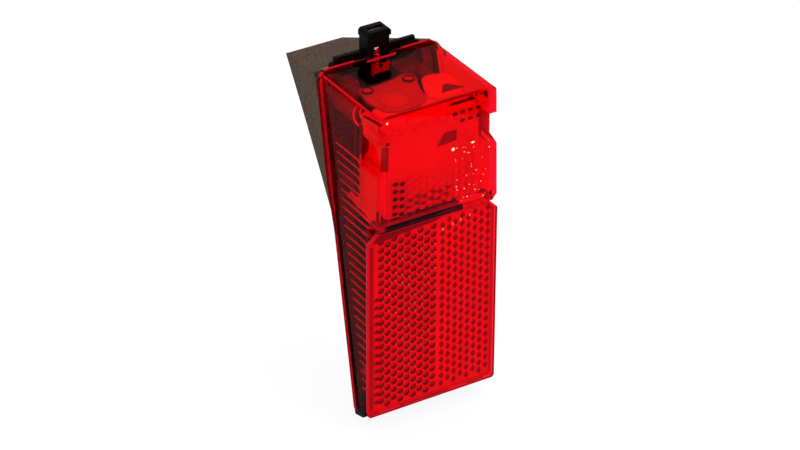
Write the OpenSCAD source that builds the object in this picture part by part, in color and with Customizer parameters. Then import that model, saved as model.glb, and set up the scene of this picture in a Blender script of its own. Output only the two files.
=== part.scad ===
// Battery rear light for a bicycle mudguard: hinged red lens, latch, light unit, cells and foot.
// Lens face towards -Y, +Z up, origin where the fixing stud leaves the pad on the foot's back.

/* [Lens] */
// Height of the lens over its bottom edge
lens_h = 103; // [98:0.5:110]
// Width of the lens along its roof
lens_top_w = 40.2; // [39:0.1:44]
// Width of the lens along its bottom edge
lens_bottom_w = 44.8; // [44:0.1:48]
// Wall of the lens
lens_wall = 1.8; // [1.4:0.1:2.2]
// Step of the light chamber in front of the reflector face
chamber_step = 1.6; // [1:0.1:3]
// Lean of the lens rim, top towards the wheel
rim_lean = 13.2; // [11:0.1:15]
// Depth of the lens at its bottom edge, behind the reflector face
lens_foot_d = 7.8; // [7.4:0.1:9]
// Radius of the long roof edges
roof_r = 1.9; // [0.6:0.1:3]
// Thickness of the rim around the lens
rim_t = 1.7; // [1.4:0.1:3]
// How far the rim stands out of the side walls
rim_lip = 0.5; // [0.3:0.05:0.9]
// How much further the rim stands out beside the light chamber
rim_flare = 0.8; // [0.4:0.1:1.2]
// Radius of the rim's upper corners
rim_r = 4.2; // [1:0.1:6]

/* [Side grooves] */
// Depth of the groove across each front edge of the chamber
groove_d = 2.4; // [1:0.1:3]
// Drop of the groove's top below the roof
groove_drop = 9; // [7:0.5:11]
// Flat floor of the groove, its height
groove_flat_h = 6; // [4:0.5:8]
// Height of the slope that leads out of the groove
groove_slope_h = 4; // [2:0.5:6]
// Length of the groove towards the rim
groove_l = 8.6; // [5:0.2:11]

/* [Inner ribs] */
// Spacing of the ribs inside the side walls
rib_pitch = 2.8; // [2.4:0.1:4]
// Height of the ribs
rib_h = 0.5; // [0.4:0.1:1]
// How far the ribs stand in from the walls
rib_d = 0.7; // [0.4:0.1:1]

/* [Reflector] */
// Width of the reflector plate
panel_w = 45; // [44:0.1:47]
// Height of the reflector plate
panel_h = 63.5; // [60:0.5:66]
// Thickness of the reflector plate
panel_t = 2.1; // [1.6:0.1:3]
// Width and height of its cut upper corners
panel_cut = 3.1; // [1:0.1:5]
// Radius of its lower corners
panel_r = 1.2; // [0.4:0.1:3]
// Seat of the plate on the lens, all round
panel_seat = 3; // [2:0.1:5]
// Gap between the plate and the chamber over it
panel_gap = 1; // [0.6:0.1:2]

/* [Seal and base plate] */
// Thickness of the rubber seal
seal_t = 0.6; // [0.4:0.1:1]
// Free gap between the lens rim and the seal
seal_gap = 0.1; // [0.06:0.02:0.2]
// Width of the seal's band along the bottom
seal_w = 3; // [2.4:0.1:4]
// Width of the seal's band along the sides and the top
seal_side_w = 2; // [1.6:0.1:3]
// How far the seal stays inside the lens rim
seal_in = 0.4; // [0.3:0.05:0.6]
// How far the base plate stays inside the lens rim
plate_in = 1.5; // [1.2:0.1:1.8]
// Thickness of the base plate
plate_t = 2.2; // [2:0.1:3]

/* [Foot] */
// Wall of the foot
foot_wall = 2; // [1.6:0.1:2.6]
// Width of the foot where it meets the base plate
foot_front_w = 40.4; // [39:0.2:42]
// Width of the foot's front at its bottom
foot_bottom_w = 19.8; // [18:0.2:24]
// Width of the foot at the upper end of its saddle
foot_crest_w = 19.9; // [18:0.1:24]
// Depth of the foot behind the lens rim, at the saddle's upper end
foot_reach = 38.7; // [37:0.1:41]
// Drop of the saddle's upper end below the rim's top, along the rim
foot_crest_drop = 4.6; // [4:0.1:6]
// Drop of the foot's top edge below the rim's top, along the rim
foot_top_drop = 0.6; // [0:0.1:2]
// Radius of the mudguard that the saddle fits
saddle_r = 365; // [330:5:420]
// Lean of the mudguard at the saddle's upper end
saddle_lean = 35.5; // [34:0.5:36.5]
// Thickness of the rubber pad on the saddle
pad_t = 2; // [1:0.1:3]
// Margin of the pad inside the saddle
pad_margin = 0.8; // [0.4:0.1:2]
// Lean of the mudguard at the stud
stud_lean = 28; // [27:0.1:29]
// Radius of the stud's thread
stud_r = 2.5; // [2:0.5:3]
// Length of the thread past the pad
stud_l = 14; // [10:0.5:20]
// Width of the stud's square neck
stud_neck_w = 5.6; // [5:0.1:7]
// Thickness of the foot under the stud's head
stud_seat_t = 4; // [3:0.1:6]
// Thickness of the stud's head
stud_head_t = 3.5; // [2.5:0.1:4]
// Width across flats of the stud's head
stud_head_w = 8; // [7:0.5:10]

/* [Latch] */
// Width of the latch over its wings
latch_w = 27.6; // [25:0.1:28]
// Thickness of the wings
wing_t = 1.3; // [1:0.1:1.6]
// Height of the wings over the roof
wing_up = 2.2; // [1.6:0.1:3]
// Depth of the wings below the roof
wing_down = 4.6; // [3.8:0.1:5]
// Width of the finger tower
tower_w = 7.5; // [6.5:0.1:8.6]
// Depth of the finger tower
tower_d = 4.8; // [4.4:0.1:5.4]
// Height of the tower over the roof
tower_h = 8.6; // [8:0.1:10]
// Height of the tower's head
head_h = 2.3; // [1.6:0.1:2.6]
// How far the head stands out of the tower
head_lip = 0.4; // [0.2:0.05:0.6]
// Length of the slot in the head's top
head_slot_l = 5.4; // [4:0.1:6]
// Width of that slot
head_slot_w = 1.8; // [1.2:0.1:2.4]
// Depth of that slot
head_slot_d = 1; // [0.6:0.1:1.4]
// Width of the catch block under the tower
catch_w = 9.2; // [8.4:0.1:10]
// Depth of the catch block below the roof
catch_down = 8.7; // [8.4:0.1:9.4]
// Room beside the catch block
catch_room = 2.2; // [1.6:0.1:2.6]
// Travel of the latch when it is pressed
latch_travel = 2; // [1.4:0.1:2.2]
// Free play around the latch
latch_play = 0.3; // [0.2:0.02:0.4]
// Width of the gap in the lens rim for the latch
rim_gap_w = 16.6; // [15:0.1:18]
// Width of the lens tab that the latch holds
tab_w = 5.4; // [5:0.1:6]
// Thickness of the lens tab
tab_t = 1.5; // [1.2:0.1:1.8]
// Height of the tab's peak over the roof
tab_up = 3.4; // [3:0.1:4]
// Depth of the tab below the roof
tab_down = 5.8; // [5.4:0.1:6.2]
// Radius of the hole in the tab
tab_hole_r = 0.75; // [0.5:0.05:1]
// Thickness of the hook in front of the tab
hook_t = 1; // [0.8:0.1:1.2]
// Width of the hook
hook_w = 5.6; // [4:0.1:6]
// How far the hook overlaps the tab
hook_hold = 1.1; // [0.8:0.1:1.2]

/* [Springs] */
// Mean radius of the latch spring
latch_coil_r = 1.25; // [1.1:0.05:1.4]
// Wire diameter of the latch spring
latch_wire_d = 0.5; // [0.4:0.05:0.55]
// Curls of the latch spring
latch_curls = 6; // [4:1:6]
// Mean radius of the cell springs
cell_coil_r = 2.6; // [2:0.1:3]
// Wire diameter of the cell springs
cell_wire_d = 0.6; // [0.4:0.05:0.7]
// Curls of the cell springs
cell_curls = 3; // [2:1:3]

/* [Hinge] */
// Radius of the hinge pin
hinge_pin_r = 0.6; // [0.5:0.05:0.7]
// Radius of the knuckles and of the bar around the pin
hinge_r = 1.35; // [1.25:0.05:1.45]
// Depth of the hinge axis below the lens bottom, along the rim
hinge_drop = 2; // [1.9:0.05:2.3]
// Distance of the hinge axis in front of the rim
hinge_front = 1.5; // [1.2:0.05:1.8]
// Distance between the middles of the two knuckles
knuckle_span = 24; // [18:0.5:30]
// How far the hinge bar's ends stay inside the lens
hinge_in = 1.2; // [0.8:0.1:2]
// Width of a knuckle
knuckle_w = 7; // [5:0.5:10]
// Radial running clearance of the pin in the knuckles
pin_play = 0.05; // [0.02:0.01:0.1]
// Gap beside a knuckle
knuckle_gap = 0.3; // [0.2:0.05:0.5]

/* [Light unit] */
// Distance between the two lamps
lamp_span = 15.6; // [15.4:0.1:15.8]
// Radius of a bowl at its mouth
bowl_r = 7.4; // [7:0.1:7.6]
// Depth of a bowl
bowl_d = 11.4; // [10:0.1:12]
// Gap between the reflector block and the walls of the side grooves
unit_side_gap = 0.4; // [0.3:0.05:0.8]
// Gap between the reflector block and the chamber's roof
unit_roof_gap = 5.2; // [4:0.1:7]
// Gap between the reflector block and the chamber's floor
unit_floor_gap = 1.7; // [1:0.1:3]
// Gap between the reflector block and the chamber's front wall
unit_gap = 2; // [1:0.1:3]
// Wall of the reflector block behind the bowls
unit_back = 1.2; // [0.8:0.1:1.6]
// Radius of a lamp
lamp_r = 2.5; // [2:0.1:2.6]
// Thickness of the circuit boards
board_t = 1.6; // [1:0.1:1.8]
// Width of the lamp board
board_w = 34; // [33:0.5:35]
// How far the lamp board stays below the block's top and over its bottom
board_inset = 0.5; // [0.2:0.1:1]
// Radius of the posts under the board
post_r = 2.4; // [2.2:0.1:3]

/* [Battery bay] */
// Diameter of a cell
cell_d = 10.5; // [10:0.1:11]
// Length of a cell over its terminals
cell_l = 44.5; // [43:0.5:46]
// Gap between the cells and the tray
cell_gap = 0.5; // [0.3:0.1:0.8]
// Room for the springs at one end of a cell
spring_room = 5; // [4:0.1:6]
// Wall of the tray
tray_wall = 1.2; // [1:0.1:1.6]
// Rim of the tray on the base plate
tray_rim = 1.2; // [1:0.1:1.4]
// Thickness of the contact plates
contact_t = 0.4; // [0.3:0.05:0.5]

/* [Switch] */
// Radius of the push button
button_r = 4; // [3.5:0.1:4.5]
// How far the button stands out
button_out = 1.4; // [1.1:0.1:2]
// Travel of the button
button_travel = 0.9; // [0.5:0.1:1]
// Drop of the button below the rim's top, along the rim
button_drop = 25.8; // [24:0.1:30]
// Depth of the button behind the lens rim
button_depth = 16; // [14:0.5:17]
// Radial clearance of the button in its hole
button_play = 0.15; // [0.1:0.01:0.25]
// Width of the switch
switch_w = 6; // [5:0.5:7]
// Thickness of the switch
switch_t = 3.4; // [3:0.1:4]

/* [Screws] */
// Shank radius of the foot screws
screw_r = 1.25; // [1:0.05:1.5]
// Head radius of the foot screws
screw_head_r = 2; // [1.8:0.1:2.2]
// Grip length of the foot screws in the foot
screw_grip = 4.5; // [3.5:0.5:5]
// Shank radius of the board screws
board_screw_r = 0.9; // [0.7:0.05:1]
// Radial clearance of screws in their holes
screw_play = 0.04; // [0.02:0.01:0.1]

/* [Hidden] */
$fn = 64;
eps = 0.01;
far = 30;

// Half width of the lens at a height, and the rim's place at that height
bottom_hw = lens_bottom_w / 2;
top_hw = lens_top_w / 2;
hinge_hw = bottom_hw - hinge_in;
function lens_hw(z) = bottom_hw + (top_hw - bottom_hw) * z / lens_h;
function rim_y(z) = lens_foot_d + z * tan(rim_lean);

// A point of the leaning rim frame (w behind the rim, v up along it) as [y, z]
function on_rim(w, v) = [
    lens_foot_d + w * cos(rim_lean) + v * sin(rim_lean),
    v * cos(rim_lean) - w * sin(rim_lean),
];
rim_top_v = lens_h / cos(rim_lean);

// Layers behind the rim
plate_front = seal_gap + seal_t;
plate_back = plate_front + plate_t;

// Chamber, its grooves and its light unit
chamber_y = -chamber_step;
shelf_z = panel_h + panel_gap;
groove_top_z = lens_h - groove_drop;
groove_low_z = groove_top_z - groove_flat_h;
groove_floor = lens_hw(groove_top_z) - groove_d;
unit_w = 2 * (groove_floor - lens_wall - unit_side_gap);
unit_h = lens_h - shelf_z - 2 * lens_wall - unit_roof_gap - unit_floor_gap;
light_z = shelf_z + lens_wall + unit_floor_gap + unit_h / 2;
board_h = unit_h - 2 * board_inset;
board_front_y = chamber_y + lens_wall + unit_gap + bowl_d + unit_back;
board_back_y = board_front_y + board_t;
bowl_mouth_y = chamber_y + lens_wall + unit_gap;

// Foot outline
foot_crest_v = rim_top_v - foot_crest_drop;
foot_top_v = rim_top_v - foot_top_drop;
foot_bottom_v = -(hinge_drop + hinge_r);
foot_crest = on_rim(foot_reach, foot_crest_v);
foot_edge = on_rim(plate_back, foot_top_v);
foot_top_dir = unit(foot_crest - foot_edge);
foot_top_in = [foot_top_dir.y, -foot_top_dir.x];
saddle_mid = foot_crest + saddle_r * [cos(saddle_lean), -sin(saddle_lean)];
foot_narrow = (foot_front_w - foot_bottom_w) / 2 / (foot_top_v - foot_bottom_v);
foot_taper = (foot_front_w / 2 - foot_narrow * (foot_top_v - foot_crest_v) - foot_crest_w / 2)
    / (foot_reach - plate_back);
flank_turn = atan(foot_taper);
flank_tilt = asin(foot_narrow / norm([1, foot_taper, foot_narrow]));
function foot_hw(w, v) = foot_front_w / 2 - foot_taper * (w - plate_back) - foot_narrow * (foot_top_v - v);

// Stud on the saddle, and the origin at the pad's outer face
stud_seat = saddle_mid + saddle_r * [-cos(stud_lean), sin(stud_lean)];
stud_base = stud_seat + pad_t * [cos(stud_lean), -sin(stud_lean)];

// Latch: depths behind the reflector face, and levels
tab_back = rim_y(lens_h) - 1.06;
tab_front = tab_back - tab_t;
tab_low = lens_h - tab_down;
tab_peak = lens_h + tab_up;
tab_eave = lens_h + 0.8;
tab_shoulder_w = tab_w + 4.6;
tab_shoulder_h = 1;
tab_hole_z = lens_h - 1;
tower_front = tab_back + latch_play;
tower_rear = tower_front + tower_d;
tower_top = lens_h + tower_h;
head_mid = (tower_front - head_lip + tower_rear) / 2;
wing_front = rim_y(lens_h) + 1.15;
wing_rear = wing_front + wing_t;
wing_low = lens_h - wing_down;
wing_high = lens_h + wing_up;
wing_step = 1.45;
wing_cut_w = 2.3;
wing_cut_h = 1.4;
catch_low = lens_h - catch_down;
hook_floor = tab_low - 0.4;
hook_low = hook_floor - 1;
hook_top = tab_low + hook_hold;
hook_back = tab_front - 0.2;

// Pocket of the latch, and the walls behind it
pocket_t = 1.4;
wing_room = latch_w / 2 + wing_step + latch_play;
bar_room = catch_w / 2 + catch_room;
wing_pocket_low = wing_low - latch_travel - latch_play;
bar_pocket_low = catch_low - latch_travel - latch_play;

// Spring well in the latch: a fixed seat below, the tower's ceiling above
well_play = 0.25;
well_hw = latch_coil_r + latch_wire_d / 2 + well_play;
seat_hw = well_hw - well_play;
seat_h = 1.9;
seat_z = tab_low + 1.7;
slot_low = seat_z - seat_h - well_play / 2;
slot_high = seat_z + latch_travel + well_play;
well_top = lens_h + 3.3;
well_rear = tower_front + 2 * well_hw;
latch_spring_l = well_top - seat_z - 0.1;

// Battery bay along the rim, over the seal's lower band
tray_play = 0.25;
tray_v = seal_w + tray_play + tray_rim + tray_wall;
bay_hw = cell_d + cell_gap * 1.5;
bay_l = cell_l + spring_room + 2 * contact_t;
bay_top_v = tray_v + bay_l;
cell_x = (cell_d + cell_gap) / 2;
cell_w = plate_front + 3.3;
bay_floor_w = cell_w + cell_d / 2 + cell_gap / 2;
nub_r = 2.6;
nub_l = 1.2;

// Places of the screws: [x, v] for the foot, [x, z] for the lamp board
low_screw_v = 10;
high_screw_x = 11;
low_screw_x = bay_hw + tray_wall + tray_rim + tray_play + screw_head_r;
high_screw_v = bay_top_v + tray_wall + tray_rim + tray_play + screw_head_r + 2;
foot_screw_at = [
    for (side = [-1, 1]) each [[side * low_screw_x, low_screw_v], [side * high_screw_x, high_screw_v]]
];
foot_boss_r = screw_r + 1;
board_post_x = board_w / 2 - 2.6;
board_post_z = board_h / 2 - 2.4;
board_post_at = [for (sx = [-1, 1], sz = [-1, 1]) [sx * board_post_x, light_z + sz * board_post_z]];
board_screw_l = 6;
board_screw_head_r = 1.7;
bump_r = 2;
bump_x = bar_room + bump_r + 0.2;
bump_z = wing_pocket_low - bump_r - 0.4;
bump_front = rim_y(bump_z) - 4;

// Button, its height along the rim and its layers, measured inwards from the flank's outer face
button_v = rim_top_v - button_drop;
button_flange_r = button_r + 1.2;
button_flange_t = 1.2;
button_inner = foot_wall + 0.3 + button_flange_t;
plunger_l = 0.8;
plunger_r = 1.7;
switch_front = button_inner + button_travel + 0.2 + plunger_l;
switch_back = switch_front + switch_t;
switch_rib_t = 1.8;
switch_board_l = 16;
switch_board_w = 16;

// Plain helpers
function unit(v) = v / norm(v);

// Points of an outline whose corners [x, y, r] are rounded, in counter-clockwise order
function rounded(corners, steps = 8) = [
    for (i = [0 : len(corners) - 1])
        each round_corner(
            corners[(i + len(corners) - 1) % len(corners)], corners[i],
            corners[(i + 1) % len(corners)], steps)
];
function round_corner(before, here, after, steps) =
    let (
        c = [here.x, here.y],
        a = unit([before.x, before.y] - c),
        b = unit([after.x, after.y] - c),
        half = acos(a * b) / 2,
        mid = c + unit(a + b) * here[2] / sin(half),
        start = c + a * here[2] / tan(half) - mid,
        from = atan2(start.y, start.x),
        sweep = -sign(cross(a, b)) * (180 - 2 * half)
    )
    here[2] == 0 ? [c] : [
        for (k = [0 : steps])
            let (t = from + sweep * k / steps) mid + here[2] * [cos(t), sin(t)]
    ];

// Part frame: the stud's base is the origin
module placed() translate([0, -stud_base.x, -stud_base.y]) children();

// Leaning rim frame: x across, y behind the rim, z up along it
module leaning() translate([0, lens_foot_d, 0]) rotate([-rim_lean, 0, 0]) children();

// Outline in x and z, drawn out along y
module upright(from, to) translate([0, to, 0]) rotate([90, 0, 0]) linear_extrude(to - from) children();

// Outline in y and z, drawn out along x on both sides
module across(half) translate([-half, 0, 0]) rotate([90, 0, 90]) linear_extrude(2 * half) children();

// Round bar along x
module bar_x(from, to, r) translate([from, 0, 0]) rotate([0, 90, 0]) cylinder(h = to - from, r = r);

// Round bar along y
module bar_y(from, to, r) translate([0, from, 0]) rotate([-90, 0, 0]) cylinder(h = to - from, r = r);

// Block between two corners
module block(low, high) translate(low) cube(high - low);

module both_sides() {
    children();
    mirror([1, 0, 0]) children();
}

// Frame on the saddle at the stud, z out of the foot
module at_stud() translate([0, stud_seat.x, stud_seat.y]) rotate([-(90 + stud_lean), 0, 0]) children();

// Frame on the foot's right flank at the button, x outwards
module at_button()
    leaning() translate([foot_hw(button_depth, button_v), button_depth, button_v])
        rotate([0, flank_tilt, flank_turn]) children();

// Hinge axis
module at_hinge() leaning() translate([0, -hinge_front, -hinge_drop]) children();

// Coil spring: one tube along z from 0 to l, with straight ends one wire thick
ring_sides = 6;
curl_rings = 8;
function coil_point(r, curls, rise, t) = [r * cos(360 * t), r * sin(360 * t), rise * t / curls];
function coil_path(r, wire, curls, l) =
    let (
        rise = l - 2 * wire,
        n = curls * curl_rings,
        turns = [for (k = [0 : n]) coil_point(r, curls, rise, k / curl_rings) + [0, 0, wire]]
    )
    concat([[r, 0, wire / 2 + eps]], turns, [[r, 0, l - wire / 2 - eps]]);
function ring_dir(path, i) = unit(path[min(i + 1, len(path) - 1)] - path[max(i - 1, 0)]);
function ring_at(path, i, r) =
    let (
        d = ring_dir(path, i),
        out = unit([path[i].x, path[i].y, 0] - d * (d * [path[i].x, path[i].y, 0])),
        side = cross(d, out)
    )
    [for (s = [0 : ring_sides - 1])
        path[i] + r * (cos(360 * s / ring_sides) * out + sin(360 * s / ring_sides) * side)];
module wire_tube(path, r) {
    rings = len(path);
    points = [for (i = [0 : rings - 1]) each ring_at(path, i, r)];
    walls = [
        for (i = [0 : rings - 2], s = [0 : ring_sides - 1])
            let (
                a = i * ring_sides + s,
                b = i * ring_sides + (s + 1) % ring_sides,
                c = a + ring_sides,
                d = b + ring_sides
            )
            each [[a, c, b], [b, c, d]]
    ];
    first = [for (s = [1 : ring_sides - 2]) [0, s, s + 1]];
    last_ring = (rings - 1) * ring_sides;
    last = [for (s = [1 : ring_sides - 2]) [last_ring, last_ring + s + 1, last_ring + s]];
    polyhedron(points, concat(walls, first, last), convexity = 10);
}
module coil_spring(r, wire, curls, l) wire_tube(coil_path(r, wire, curls, l), wire / 2);

// Least gap of a coil to itself, over points half a curl or more apart
function coil_gap(r, wire, curls, l) =
    let (path = coil_path(r, wire, curls, l), last = len(path) - 2)
    min([
        for (i = [1 : last - curl_rings / 2], j = [i + curl_rings / 2 : last]) norm(path[i] - path[j])
    ]) - wire;

// Lens outlines, drawn in by s
function lens_profile(s, open) = [
    [panel_t + s, s],
    [panel_t + s, shelf_z + s],
    [chamber_y + s, shelf_z + s],
    [chamber_y + s, lens_h - s],
    [rim_y(lens_h - s) + open, lens_h - s],
    [rim_y(s) + open, s],
];
function lens_outline(s) = rounded([
    [-(lens_hw(s) - s), s, 0],
    [lens_hw(s) - s, s, 0],
    [lens_hw(lens_h - s) - s, lens_h - s, max(roof_r - s, 0.4)],
    [-(lens_hw(lens_h - s) - s), lens_h - s, max(roof_r - s, 0.4)],
]);
module lens_solid(s, open) intersection() {
    across(far) polygon(lens_profile(s, open));
    upright(-far, 2 * far) polygon(lens_outline(s));
}

// Groove across the chamber's front edge, grown by g
module side_groove(g) {
    out = far - groove_floor;
    upright(chamber_y - 1 - g, chamber_y + groove_l + g)
        polygon([
            [groove_floor - g, groove_top_z + g],
            [groove_floor - g, groove_low_z - g / 2],
            [groove_floor + out, groove_low_z - g - out * groove_slope_h / groove_d],
            [groove_floor + out, groove_top_z + g],
        ]);
}

// Cut under the chamber's lower corners, down to the plate's cut corners
corner_cut_h = 2;
corner_cut_w = 1.5;
module corner_cut() upright(chamber_y - 1, panel_t)
    polygon([
        [lens_hw(shelf_z) - corner_cut_w, shelf_z - 1],
        [lens_hw(shelf_z) - corner_cut_w, shelf_z],
        [lens_hw(shelf_z) + corner_cut_w, shelf_z + 2 * corner_cut_h],
        [far, shelf_z + 2 * corner_cut_h],
        [far, shelf_z - 1],
    ]);

// Ribs on the inner side walls, level, from the plate's frame to the rim
rib_low_z = 7;
rib_count = floor((groove_low_z - rib_low_z) / rib_pitch);
function rib_z(i) = rib_low_z + i * rib_pitch;
function rib_start_y(z) =
    z < shelf_z + lens_wall ? panel_t + lens_wall - eps : chamber_y + groove_l + lens_wall;
module side_ribs() for (i = [0 : rib_count - 1]) {
    z = rib_z(i);
    wall_in = lens_hw(z) - lens_wall;
    block(
        [wall_in - rib_d, rib_start_y(z), z - rib_h / 2],
        [wall_in + lens_wall / 2, rim_y(z) - rim_t - 1, z + rib_h / 2]);
}

// Outline in the rim frame, wider beside the chamber, grown and cut off at low
rim_gap_h = 4;
flare_low_v = (shelf_z - 10) / cos(rim_lean);
flare_high_v = (shelf_z + 6) / cos(rim_lean);
rim_top_flare = 0.5 * rim_flare;
function rim_hw(v) = lens_hw(v * cos(rim_lean));
function rim_outline(grow, r, low) = rounded([
    [-(bottom_hw + grow), low, 0],
    [bottom_hw + grow, low, 0],
    [rim_hw(flare_low_v) + grow, flare_low_v, 0],
    [rim_hw(flare_high_v) + rim_flare + grow, flare_high_v, 0],
    [top_hw + rim_top_flare + grow, rim_top_v + grow, r],
    [-(top_hw + rim_top_flare + grow), rim_top_v + grow, r],
    [-(rim_hw(flare_high_v) + rim_flare + grow), flare_high_v, 0],
    [-(rim_hw(flare_low_v) + grow), flare_low_v, 0],
]);

module lens_tab() upright(tab_front, tab_back) difference() {
    union() {
        polygon([
            [-tab_w / 2, tab_low], [tab_w / 2, tab_low], [tab_w / 2, tab_eave],
            [0, tab_peak], [-tab_w / 2, tab_eave],
        ]);
        translate([-tab_shoulder_w / 2, tab_eave - tab_shoulder_h]) square([tab_shoulder_w, tab_shoulder_h]);
    }
    translate([0, tab_hole_z]) circle(tab_hole_r, $fn = 32);
}

module lens_knuckles() for (side = [-1, 1]) {
    mid = side * knuckle_span / 2;
    at_hinge() {
        bar_x(mid - knuckle_w / 2, mid + knuckle_w / 2, hinge_r);
        block(
            [mid - knuckle_w / 2, -hinge_r, 0],
            [mid + knuckle_w / 2, hinge_r / 2, hinge_drop + lens_wall / 2]);
    }
}

module lens_cover() color([0.8, 0.06, 0.09, 0.75]) placed() {
    difference() {
        union() {
            difference() {
                union() {
                    lens_solid(0, 0);
                    leaning() upright(-rim_t, 0) polygon(rim_outline(rim_lip, rim_r, 0));
                }
                difference() {
                    lens_solid(lens_wall, 5);
                    both_sides() side_groove(lens_wall);
                }
                both_sides() side_groove(0);
                both_sides() corner_cut();
                upright(panel_t - 1, panel_t + lens_wall + 1) polygon(panel_outline(-panel_seat));
                block(
                    [-rim_gap_w / 2, tab_back, lens_h - rim_gap_h],
                    [rim_gap_w / 2, tab_back + far, lens_h + far]);
            }
            both_sides() side_ribs();
            lens_tab();
            lens_knuckles();
        }
        at_hinge() bar_x(-far, far, hinge_pin_r + pin_play);
    }
}

function panel_outline(grow) = rounded([
    [-(panel_w / 2 + grow), -grow, panel_r],
    [panel_w / 2 + grow, -grow, panel_r],
    [panel_w / 2 + grow, panel_h - panel_cut + grow, 0],
    [panel_w / 2 - panel_cut + grow, panel_h + grow, 0],
    [-(panel_w / 2 - panel_cut + grow), panel_h + grow, 0],
    [-(panel_w / 2 + grow), panel_h - panel_cut + grow, 0],
]);
module reflector_panel() color([0.85, 0.05, 0.08, 0.9]) placed()
    upright(0, panel_t) polygon(panel_outline(0));

module lens_seal() color([0.05, 0.05, 0.05]) placed() leaning() upright(seal_gap, plate_front) difference() {
    polygon(rim_outline(rim_lip - seal_in, max(rim_r - seal_in, 0.5), 0));
    polygon(rim_outline(rim_lip - seal_in - seal_side_w, max(rim_r - seal_in - seal_side_w, 0.5), seal_w));
    translate([-rim_gap_w / 2, rim_top_v - rim_gap_h]) square([rim_gap_w, far]);
}

// Room for the latch over its travel, open to the front and to the top
module latch_pocket() {
    block([-wing_room, 0, wing_pocket_low], [wing_room, wing_rear + latch_play, lens_h + far]);
    block([-bar_room, 0, bar_pocket_low], [bar_room, tower_rear + latch_play, lens_h + far]);
}

// Walls around that room, grown by g, and the same under the foot's top
module latch_walls(g) {
    block(
        [-wing_room - pocket_t - g, 0, wing_pocket_low - pocket_t - g],
        [wing_room + pocket_t + g, wing_rear + latch_play + pocket_t + g, lens_h + far]);
    block(
        [-bar_room - pocket_t - g, 0, bar_pocket_low - pocket_t - g],
        [bar_room + pocket_t + g, tower_rear + latch_play + pocket_t + g, lens_h + far]);
}
module latch_box() intersection() {
    latch_walls(0);
    across(far) polygon([
        on_rim(plate_back - eps, rim_top_v / 2),
        foot_edge + far * foot_top_dir - [0, far],
        foot_edge + far * foot_top_dir,
        on_rim(plate_back - eps, foot_top_v),
    ]);
}

module base_plate() color([0.27, 0.25, 0.22]) placed() difference() {
    union() {
        difference() {
            union() {
                leaning() upright(plate_front, plate_back) polygon(
                    rim_outline(rim_lip - plate_in, max(rim_r - plate_in, 0.5), hinge_r - hinge_drop));
                latch_box();
            }
            latch_pocket();
        }
        block(
            [-seat_hw, tower_front + 0.2, seat_z - seat_h],
            [seat_hw, tower_rear + latch_play + eps, seat_z]);
        both_sides() translate([bump_x, 0, bump_z])
            bar_y(bump_front, rim_y(bump_z) + plate_front + 1, bump_r);
        for (p = board_post_at)
            translate([p.x, 0, p.y]) bar_y(board_back_y, rim_y(p.y) + plate_front + 1, post_r);
    }
    leaning() block(
        [-bay_hw - tray_wall - tray_play, -far, tray_v - tray_wall - tray_play],
        [bay_hw + tray_wall + tray_play, far, bay_top_v + tray_wall + tray_play]);
    leaning() for (p = foot_screw_at)
        translate([p.x, 0, p.y]) bar_y(plate_front - 1, plate_back + 1, screw_r + screw_play);
    for (p = board_post_at)
        translate([p.x, 0, p.y])
            bar_y(board_back_y - 1, board_back_y + board_screw_l, board_screw_r + screw_play);
}

// Foot: wedge between the base plate and the mudguard, and a box for the tray, both drawn in by s
module saddle_drum(r) translate([-far, saddle_mid.x, saddle_mid.y]) rotate([0, 90, 0])
    cylinder(h = 2 * far, r = r, $fn = 360);
module flank_cut(s) leaning() translate([foot_hw(plate_back, 0), plate_back, 0])
    rotate([0, flank_tilt, flank_turn]) block([-s, -4 * far, -4 * far], [4 * far, 4 * far, 8 * far]);
wedge_low_v = foot_bottom_v + 0.8;
module foot_wedge(s, open) difference() {
    across(far) polygon([
        on_rim(plate_back - open, wedge_low_v + s),
        foot_edge + s * foot_top_in - open * foot_top_dir,
        foot_crest + s * foot_top_in + far * foot_top_dir,
        on_rim(foot_reach + 2 * far, wedge_low_v + s),
    ]);
    both_sides() flank_cut(s);
}
box_hw = bay_hw + tray_wall + tray_play + foot_wall;
box_back = bay_floor_w + tray_wall + tray_play + foot_wall;
box_top_v = bay_top_v + tray_wall + tray_play + foot_wall;
module foot_solid(s, open) {
    foot_wedge(s, open);
    leaning() block(
        [-box_hw + s, plate_back - open, foot_bottom_v + s],
        [box_hw - s, box_back - s, box_top_v - s]);
}

module stud_neck(from, to, play) {
    w = stud_neck_w + 2 * play;
    translate([-w / 2, -w / 2, from]) cube([w, w, to - from]);
}

module switch_ribs() at_button() for (side = [-1, 1]) {
    mid = side * (switch_board_w - switch_rib_t) / 2;
    block(
        [-switch_back, mid - switch_rib_t / 2, -switch_w / 2],
        [-foot_wall / 2, mid + switch_rib_t / 2, switch_w / 2]);
}

module foot_housing() color([0.3, 0.27, 0.23]) placed() difference() {
    union() {
        difference() {
            foot_solid(0, 0);
            difference() {
                foot_solid(foot_wall, 5);
                saddle_drum(saddle_r + foot_wall);
            }
        }
        leaning() for (p = foot_screw_at)
            translate([p.x, 0, p.y]) bar_y(plate_back, plate_back + screw_grip + 1, foot_boss_r);
        at_stud() translate([0, 0, -stud_seat_t]) cylinder(h = stud_seat_t + 1, r = stud_head_w);
        switch_ribs();
    }
    saddle_drum(saddle_r);
    latch_walls(latch_play / 2);
    leaning() for (p = foot_screw_at)
        translate([p.x, 0, p.y]) bar_y(plate_back - 1, plate_back + screw_grip, screw_r + screw_play);
    at_stud() stud_neck(-stud_seat_t - 1, stud_seat_t, screw_play);
    at_button() bar_x(-foot_wall - 1, 1, button_r + button_play);
}

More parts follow.
